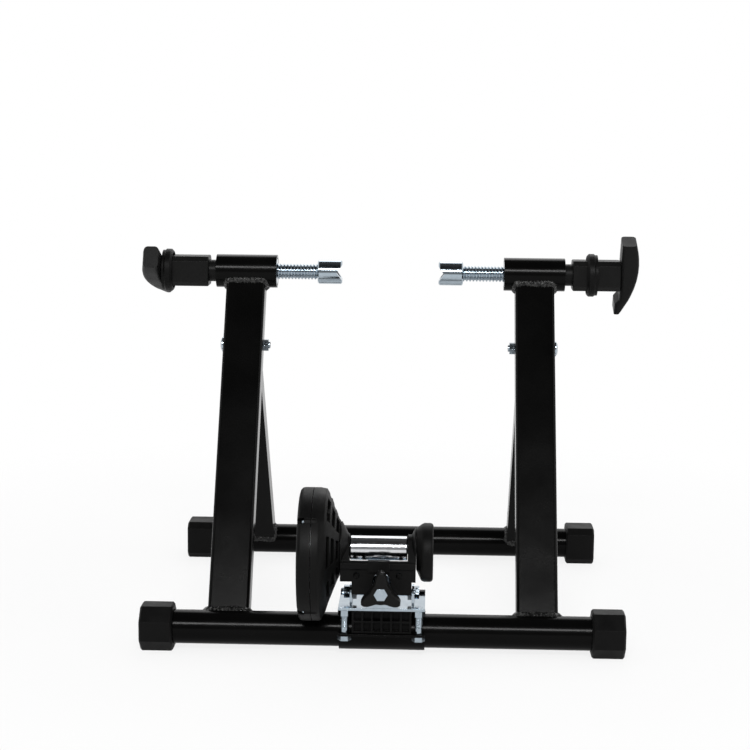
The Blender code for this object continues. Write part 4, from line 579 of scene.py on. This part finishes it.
def weld_upright(word):
    """Beads at an upright's foot, on the front bar, and at its head, on the sleeve."""
    tube = word + "_upright"
    x = centre_of(tube).x
    bar = centre_of("front_bar")
    sleeve = centre_of(word + "_sleeve")
    foot = Vector((x, bar.y, bar.z))
    head = Vector((x, sleeve.y, sleeve.z))
    back = rearward(head - foot)
    foot += back * UPRIGHT_FOOT_OFFSET
    head += back * UPRIGHT_HEAD_OFFSET
    up = (head - foot).normalized()
    half_width = UPRIGHT_WIDTH / 2
    half_depth = UPRIGHT_DEPTH / 2
    foot_path = bead_path(foot, up, half_width + FOOT_WELD_SIDE_SPREAD,
                          half_depth + FOOT_WELD_FRONT_SPREAD, "front_bar")
    weld_bead(word + "_foot_weld", BODY_OF[tube], *foot_path, FOOT_WELD_SIZE)
    head_path = bead_path(head, -up, half_width, half_depth, word + "_sleeve")
    weld_bead(word + "_head_weld", BODY_OF[tube], *head_path)


def weld_leg(word, pivot):
    """Bead at the foot of a leg, on the rear bar."""
    x = centre_of(word + "_upright").x
    bar = centre_of("rear_bar")
    foot = Vector((x, bar.y, bar.z))
    top = Vector((x, pivot.y, pivot.z))
    path = bead_path(foot, (top - foot).normalized(), LEG_WIDTH / 2, LEG_DEPTH / 2, "rear_bar")
    weld_bead(word + "_leg_weld", BODY_OF[word + "_rear_leg"], *path)


def make_welds():
    """Beads where the uprights meet the bar and the sleeves, and where the legs meet their bar."""
    joints = {joint["name"]: joint for joint in frame["joints"]}
    pivot = Vector(joints["rear_fold"]["pos_m"])
    for word in WORDS:
        weld_upright(word)
        weld_leg(word, pivot)


# Threads and screws


def thread_share(turns):
    """Height of a trapezoidal thread, from 0 at its root to 1 at its crest."""
    from_root = 0.5 - abs(turns % 1.0 - 0.5)
    return min(1.0, max(0.0, THREAD_SLOPE * from_root - THREAD_ROOT_FLAT))


def threaded_bar(name, body, axis, ends, centre, radius, pitch, depth, sides, steps, run):
    """Closed bar along an axis, with a right-hand thread that fades over a run at both ends."""
    start, end = ends
    lengthways = "XYZ".index(axis)
    rows = max(2, round((end - start) / pitch * steps))
    turn = circle(sides)
    mesh_data = bmesh.new()
    rings = []
    for row in range(rows + 1):
        along = start + (end - start) * row / rows
        fade = min(1.0, (along - start) / run, (end - along) / run)
        ring = []
        for side, (cosine, sine) in enumerate(turn):
            height = thread_share(along / pitch - side / sides) * fade
            size = radius - depth + depth * height
            place = centre.copy()
            place[lengthways] = along
            place[(lengthways + 1) % 3] += size * cosine
            place[(lengthways + 2) % 3] += size * sine
            ring.append(mesh_data.verts.new(place))
        rings.append(ring)
    join_rings(mesh_data, rings)
    mesh_data.faces.new(rings[0][::-1])
    mesh_data.faces.new(rings[-1])
    return new_piece(name, mesh_data, "zinc_plate", body, THREAD_SHARP_ANGLE)


def make_clamp_threads():
    """Coarse screw of each axle clamp, in place of the frame's smooth rod."""
    ratios = {coupling["joint"]: coupling["ratio"]
              for coupling in frame["record"]["behaviour"]["couplings"]}
    for word in WORDS:
        node = word + "_rod"
        low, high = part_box(node)
        pitch = 2 * math.pi / abs(ratios[word + "_handle_turn"])
        screw = threaded_bar(word + "_screw_thread", BODY_OF[node], "X", (low.x, high.x),
                             (low + high) / 2, (high.z - low.z) / 2, pitch, **CLAMP_THREAD)
        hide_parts(node)


def bolt_thread(name, node, axis, ends):
    """Fine thread on the centre line and the body of a CAD node."""
    threaded_bar(name, BODY_OF[node], axis, ends, centre_of(node),
                 BOLT_RADIUS + BOLT_THREAD["depth"] / 2, BOLT_THREAD_PITCH, **BOLT_THREAD)


def make_bolt_threads():
    """Fine threads on the bolt ends that stand out of their nuts, and on the adjusting bolt."""
    for word in WORDS:
        nut_low, nut_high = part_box(word + "_leg_nut")
        bolt_low, bolt_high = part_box(word + "_leg_bolt")
        ends = (nut_high.x, bolt_high.x) if word == "left" else (bolt_low.x, nut_low.x)
        bolt_thread(word + "_leg_bolt_thread", word + "_leg_nut", "X", ends)
        nut_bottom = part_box(word + "_clamp_nut")[0].z
        bolt_thread(word + "_clamp_bolt_thread", word + "_clamp_nut", "Z",
                    (nut_bottom - CLAMP_BOLT_THREAD_LENGTH, nut_bottom))
    bolt_thread("tilt_bolt_thread", "tilt_nut", "X", (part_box("tilt_bolt")[0].x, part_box("tilt_nut")[0].x))
    bolt_thread("adjust_bolt_thread", "adjust_bolt", "Y",
                (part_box("adjust_knob")[1].y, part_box("adjust_bolt")[1].y))


def in_cross(x, y):
    """Whether a place in a screw's head, in shares of its radius, lies in the cross recess."""
    return min(abs(x), abs(y)) < CROSS_WIDTH_SHARE and max(abs(x), abs(y)) < CROSS_LENGTH_SHARE


def cross_screw(name, place, direction, radius, rise):
    """Domed screw head with a cross recess, facing along a direction."""
    turn = direction.to_track_quat("Z", "Y").to_matrix()
    mesh_data = bmesh.new()

    def corner(x, y, height):
        return mesh_data.verts.new(place + turn @ Vector((x * radius, y * radius, height)))

    rings = []
    for ring_index in range(1, SCREW_RINGS + 1):
        share = ring_index / SCREW_RINGS
        ring = []
        for cosine, sine in circle(SCREW_SIDES):
            x = share * cosine
            y = share * sine
            height = rise * (1 - share ** SCREW_CROWN_POWER)
            if in_cross(x, y):
                height -= rise * CROSS_DEPTH_SHARE * (1 - share)
            ring.append(corner(x, y, height))
        rings.append(ring)
    middle = corner(0, 0, rise * (1 - CROSS_DEPTH_SHARE))
    base = [corner(cosine, sine, -rise / 2) for cosine, sine in circle(SCREW_SIDES)]
    for side in range(SCREW_SIDES):
        following = (side + 1) % SCREW_SIDES
        mesh_data.faces.new((middle, rings[0][side], rings[0][following]))
        for first, second in zip(rings, rings[1:]):
            mesh_data.faces.new((first[side], second[side], second[following], first[following]))
        mesh_data.faces.new((rings[-1][side], base[side], base[following], rings[-1][following]))
    mesh_data.faces.new(base[::-1])
    new_piece(name, mesh_data, "zinc_plate", "brake_unit", SCREW_SHARP_ANGLE)


def rim_place(degrees, inset, x):
    """Place in the housing's rim, at an angle up from its front and an inset from its edge."""
    shaft = centre_of("roller")
    angle = math.radians(degrees)
    reach = RIM_RADIUS - inset
    return Vector((x, shaft.y - reach * math.cos(angle), shaft.z - RIM_DROP + reach * math.sin(angle)))


def screw_pockets():
    """Pockets for the housing's screws, open to its rim and its outer face."""
    start_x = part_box("housing_outer")[0].x - POCKET_MARGIN
    pockets = []
    for degrees in HOUSING_SCREW_ANGLES:
        start = rim_place(degrees, SCREW_POCKET_INSET, start_x)
        outward = (rim_place(degrees, 0, start_x) - start).normalized()
        along = X_AXIS * (SCREW_POCKET_DEPTH + POCKET_MARGIN)
        across = X_AXIS.cross(outward) * SCREW_POCKET_WIDTH / 2
        out = outward * (SCREW_POCKET_INSET + 2 * POCKET_MARGIN)
        pocket = bmesh.new()
        corners = [pocket.verts.new(start + a * along + b * across + c * out)
                   for a in (0, 1) for b in (-1, 1) for c in (0, 1)]
        bmesh.ops.convex_hull(pocket, input=corners)
        bmesh.ops.recalc_face_normals(pocket, faces=pocket.faces)
        pockets.append(pocket)
    return pockets


def make_screws():
    """Cross-headed screws in the housing's pockets and in the yoke's front wall."""
    pocket_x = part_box("housing_outer")[0].x + SCREW_POCKET_DEPTH
    for number, degrees in enumerate(HOUSING_SCREW_ANGLES, 1):
        cross_screw(f"housing_screw_{number}", rim_place(degrees, HOUSING_SCREW_INSET, pocket_x),
                    -X_AXIS, HOUSING_SCREW_RADIUS, HOUSING_SCREW_RISE)
    for word in WORDS:
        low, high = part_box(word + "_yoke_screw")
        centre = (low + high) / 2
        place = Vector((centre.x, low.y + YOKE_SCREW_RISE, centre.z))
        cross_screw(word + "_yoke_screw_head", place, Vector((0, -1, 0)), (high.x - low.x) / 2,
                    YOKE_SCREW_RISE)


# Dark shell behind the vents, standing in for the shade inside


def make_vent_shade_shell():
    """Ribbed dark shell close behind the housing's vents, which the photograph shows dark."""
    # Painted shade: a dark sheet close behind the vents stands in for the shade inside the housing
    axis = centre_of("roller")
    stations = ((SHADE_SHELL_WIDE_X, SHADE_SHELL_WIDE_RADIUS), (SHADE_SHELL_NARROW_X, SHADE_SHELL_NARROW_RADIUS),
                (SHADE_SHELL_NARROW_X - SHADE_SHELL_THICKNESS, SHADE_SHELL_NARROW_RADIUS),
                (SHADE_SHELL_WIDE_X - SHADE_SHELL_THICKNESS, SHADE_SHELL_WIDE_RADIUS))
    mesh_data = bmesh.new()
    rings = []
    for x, radius in stations:
        ring = []
        for index in range(SHADE_SHELL_SIDES):
            angle = 2 * math.pi * index / SHADE_SHELL_SIDES
            size = radius + SHADE_SHELL_RIB_DEPTH * max(0, math.cos(SHADE_SHELL_RIB_COUNT * angle))
            y = axis.y + size * math.cos(angle)
            z = axis.z + size * math.sin(angle)
            ring.append(mesh_data.verts.new((x, y, z)))
        rings.append(ring)
    join_rings(mesh_data, rings, closed=True)
    new_piece("vent_shade_shell", mesh_data, "black_plastic", "brake_unit", SHADE_SHELL_SHARP_ANGLE)


# Stage, light and camera


def floor_material():
    """Pale floor that fades into white with distance from the object.

    Reflections see the white as a glow. The camera sees it through the floor, in the world behind,
    and so it also sees what hangs below the floor when the stand folds.
    """
    tree = Tree(bpy.data.materials.new("floor"))
    tree.nodes.remove(tree.nodes["Principled BSDF"])
    surface = tree.add("ShaderNodeBsdfDiffuse", {"Color": FLOOR_COLOUR}).outputs[0]
    glow = tree.add("ShaderNodeEmission", {"Color": WHITE}).outputs[0]
    clear = tree.add("ShaderNodeBsdfTransparent").outputs[0]
    rays = tree.add("ShaderNodeLightPath").outputs
    distance = tree.add("ShaderNodeVectorMath", {0: tree.places["Object"]})
    distance.operation = "LENGTH"
    for ray, near_share, white in (("Is Glossy Ray", FLOOR_GLOSSY_SHARE, glow),
                                   ("Is Camera Ray", FLOOR_CAMERA_SHARE, clear)):
        fade = tree.ranged(distance.outputs["Value"], near_share, 1.0, FLOOR_FADE_START, FLOOR_FADE_END)
        share = tree.combined("MULTIPLY", rays[ray], fade)
        surface = tree.add("ShaderNodeMixShader", {0: share, 1: surface, 2: white}).outputs[0]
    tree.fill(tree.nodes["Material Output"], {"Surface": surface})
    return tree.owner


def make_stage():
    """Floor, a hair below the feet, that keeps the object's shadow."""
    mesh_data = bmesh.new()
    bmesh.ops.create_grid(mesh_data, x_segments=2, y_segments=2, size=FLOOR_HALF)
    mesh = bpy.data.meshes.new("floor")
    mesh_data.to_mesh(mesh)
    mesh_data.free()
    mesh.materials.append(floor_material())
    floor = bpy.data.objects.new("floor", mesh)
    bpy.context.collection.objects.link(floor)
    floor.location.z = -FLOOR_DROP


def make_world():
    """White backdrop for the camera, and the studio that reflections see: a greyer ceiling and front."""
    tree = Tree(bpy.data.worlds.new("studio"))
    bpy.context.scene.world = tree.owner
    rays = tree.add("ShaderNodeLightPath").outputs
    seen = tree.combined("MAXIMUM", rays["Is Camera Ray"], rays["Is Transmission Ray"])
    plain = tree.ranged(seen, DIFFUSE_STRENGTH, 1.0, 0.0, 1.0)
    direction = tree.add("ShaderNodeSeparateXYZ", {0: tree.places["Generated"]}).outputs
    ceiling = tree.ranged(direction["Z"], 1.0, CEILING_SHADE, *CEILING_SPAN)
    front = tree.ranged(direction["Y"], FRONT_SHADE, 1.0, *FRONT_SPAN)
    studio = tree.combined("MULTIPLY", ceiling, front)
    strength = tree.add("ShaderNodeMix", {"Factor": rays["Is Glossy Ray"], "A": plain, "B": studio})
    tree.fill(tree.nodes["Background"], {"Color": WHITE, "Strength": strength.outputs["Result"]})


def make_lamps():
    """Soft rectangular lamps, all aimed at one point."""
    for name, place, size, power in LAMPS:
        data = bpy.data.lights.new(name, "AREA")
        data.shape = "RECTANGLE"
        data.size, data.size_y = size
        data.energy = power
        lamp = bpy.data.objects.new(name, data)
        lamp.location = place
        lamp.rotation_euler = (Vector(LAMP_TARGET) - Vector(place)).to_track_quat("-Z", "Y").to_euler()
        bpy.context.collection.objects.link(lamp)


def make_camera():
    """Camera at the photograph's place."""
    forward = Vector((math.sin(CAMERA_YAW) * math.cos(CAMERA_PITCH),
                      math.cos(CAMERA_YAW) * math.cos(CAMERA_PITCH), -math.sin(CAMERA_PITCH)))
    level_right = Vector((math.cos(CAMERA_YAW), -math.sin(CAMERA_YAW), 0))
    level_up = level_right.cross(forward)
    right = level_right * math.cos(CAMERA_ROLL) + level_up * math.sin(CAMERA_ROLL)
    up = -level_right * math.sin(CAMERA_ROLL) + level_up * math.cos(CAMERA_ROLL)
    data = bpy.data.cameras.new("camera")
    data.sensor_width = SENSOR_WIDTH
    data.lens = FOCAL_PIXELS / IMAGE_WIDTH * SENSOR_WIDTH
    camera = bpy.data.objects.new("camera", data)
    matrix = Matrix((right, up, -forward)).transposed().to_4x4()
    matrix.translation = CAMERA_PLACE
    camera.matrix_world = matrix
    bpy.context.collection.objects.link(camera)
    bpy.context.scene.camera = camera


bpy.context.scene.view_settings.view_transform = "Standard"
dress_frame()
make_welds()
make_clamp_threads()
make_bolt_threads()
make_round_forms()
make_screws()
make_vent_shade_shell()
make_stage()
make_world()
make_lamps()
make_camera()
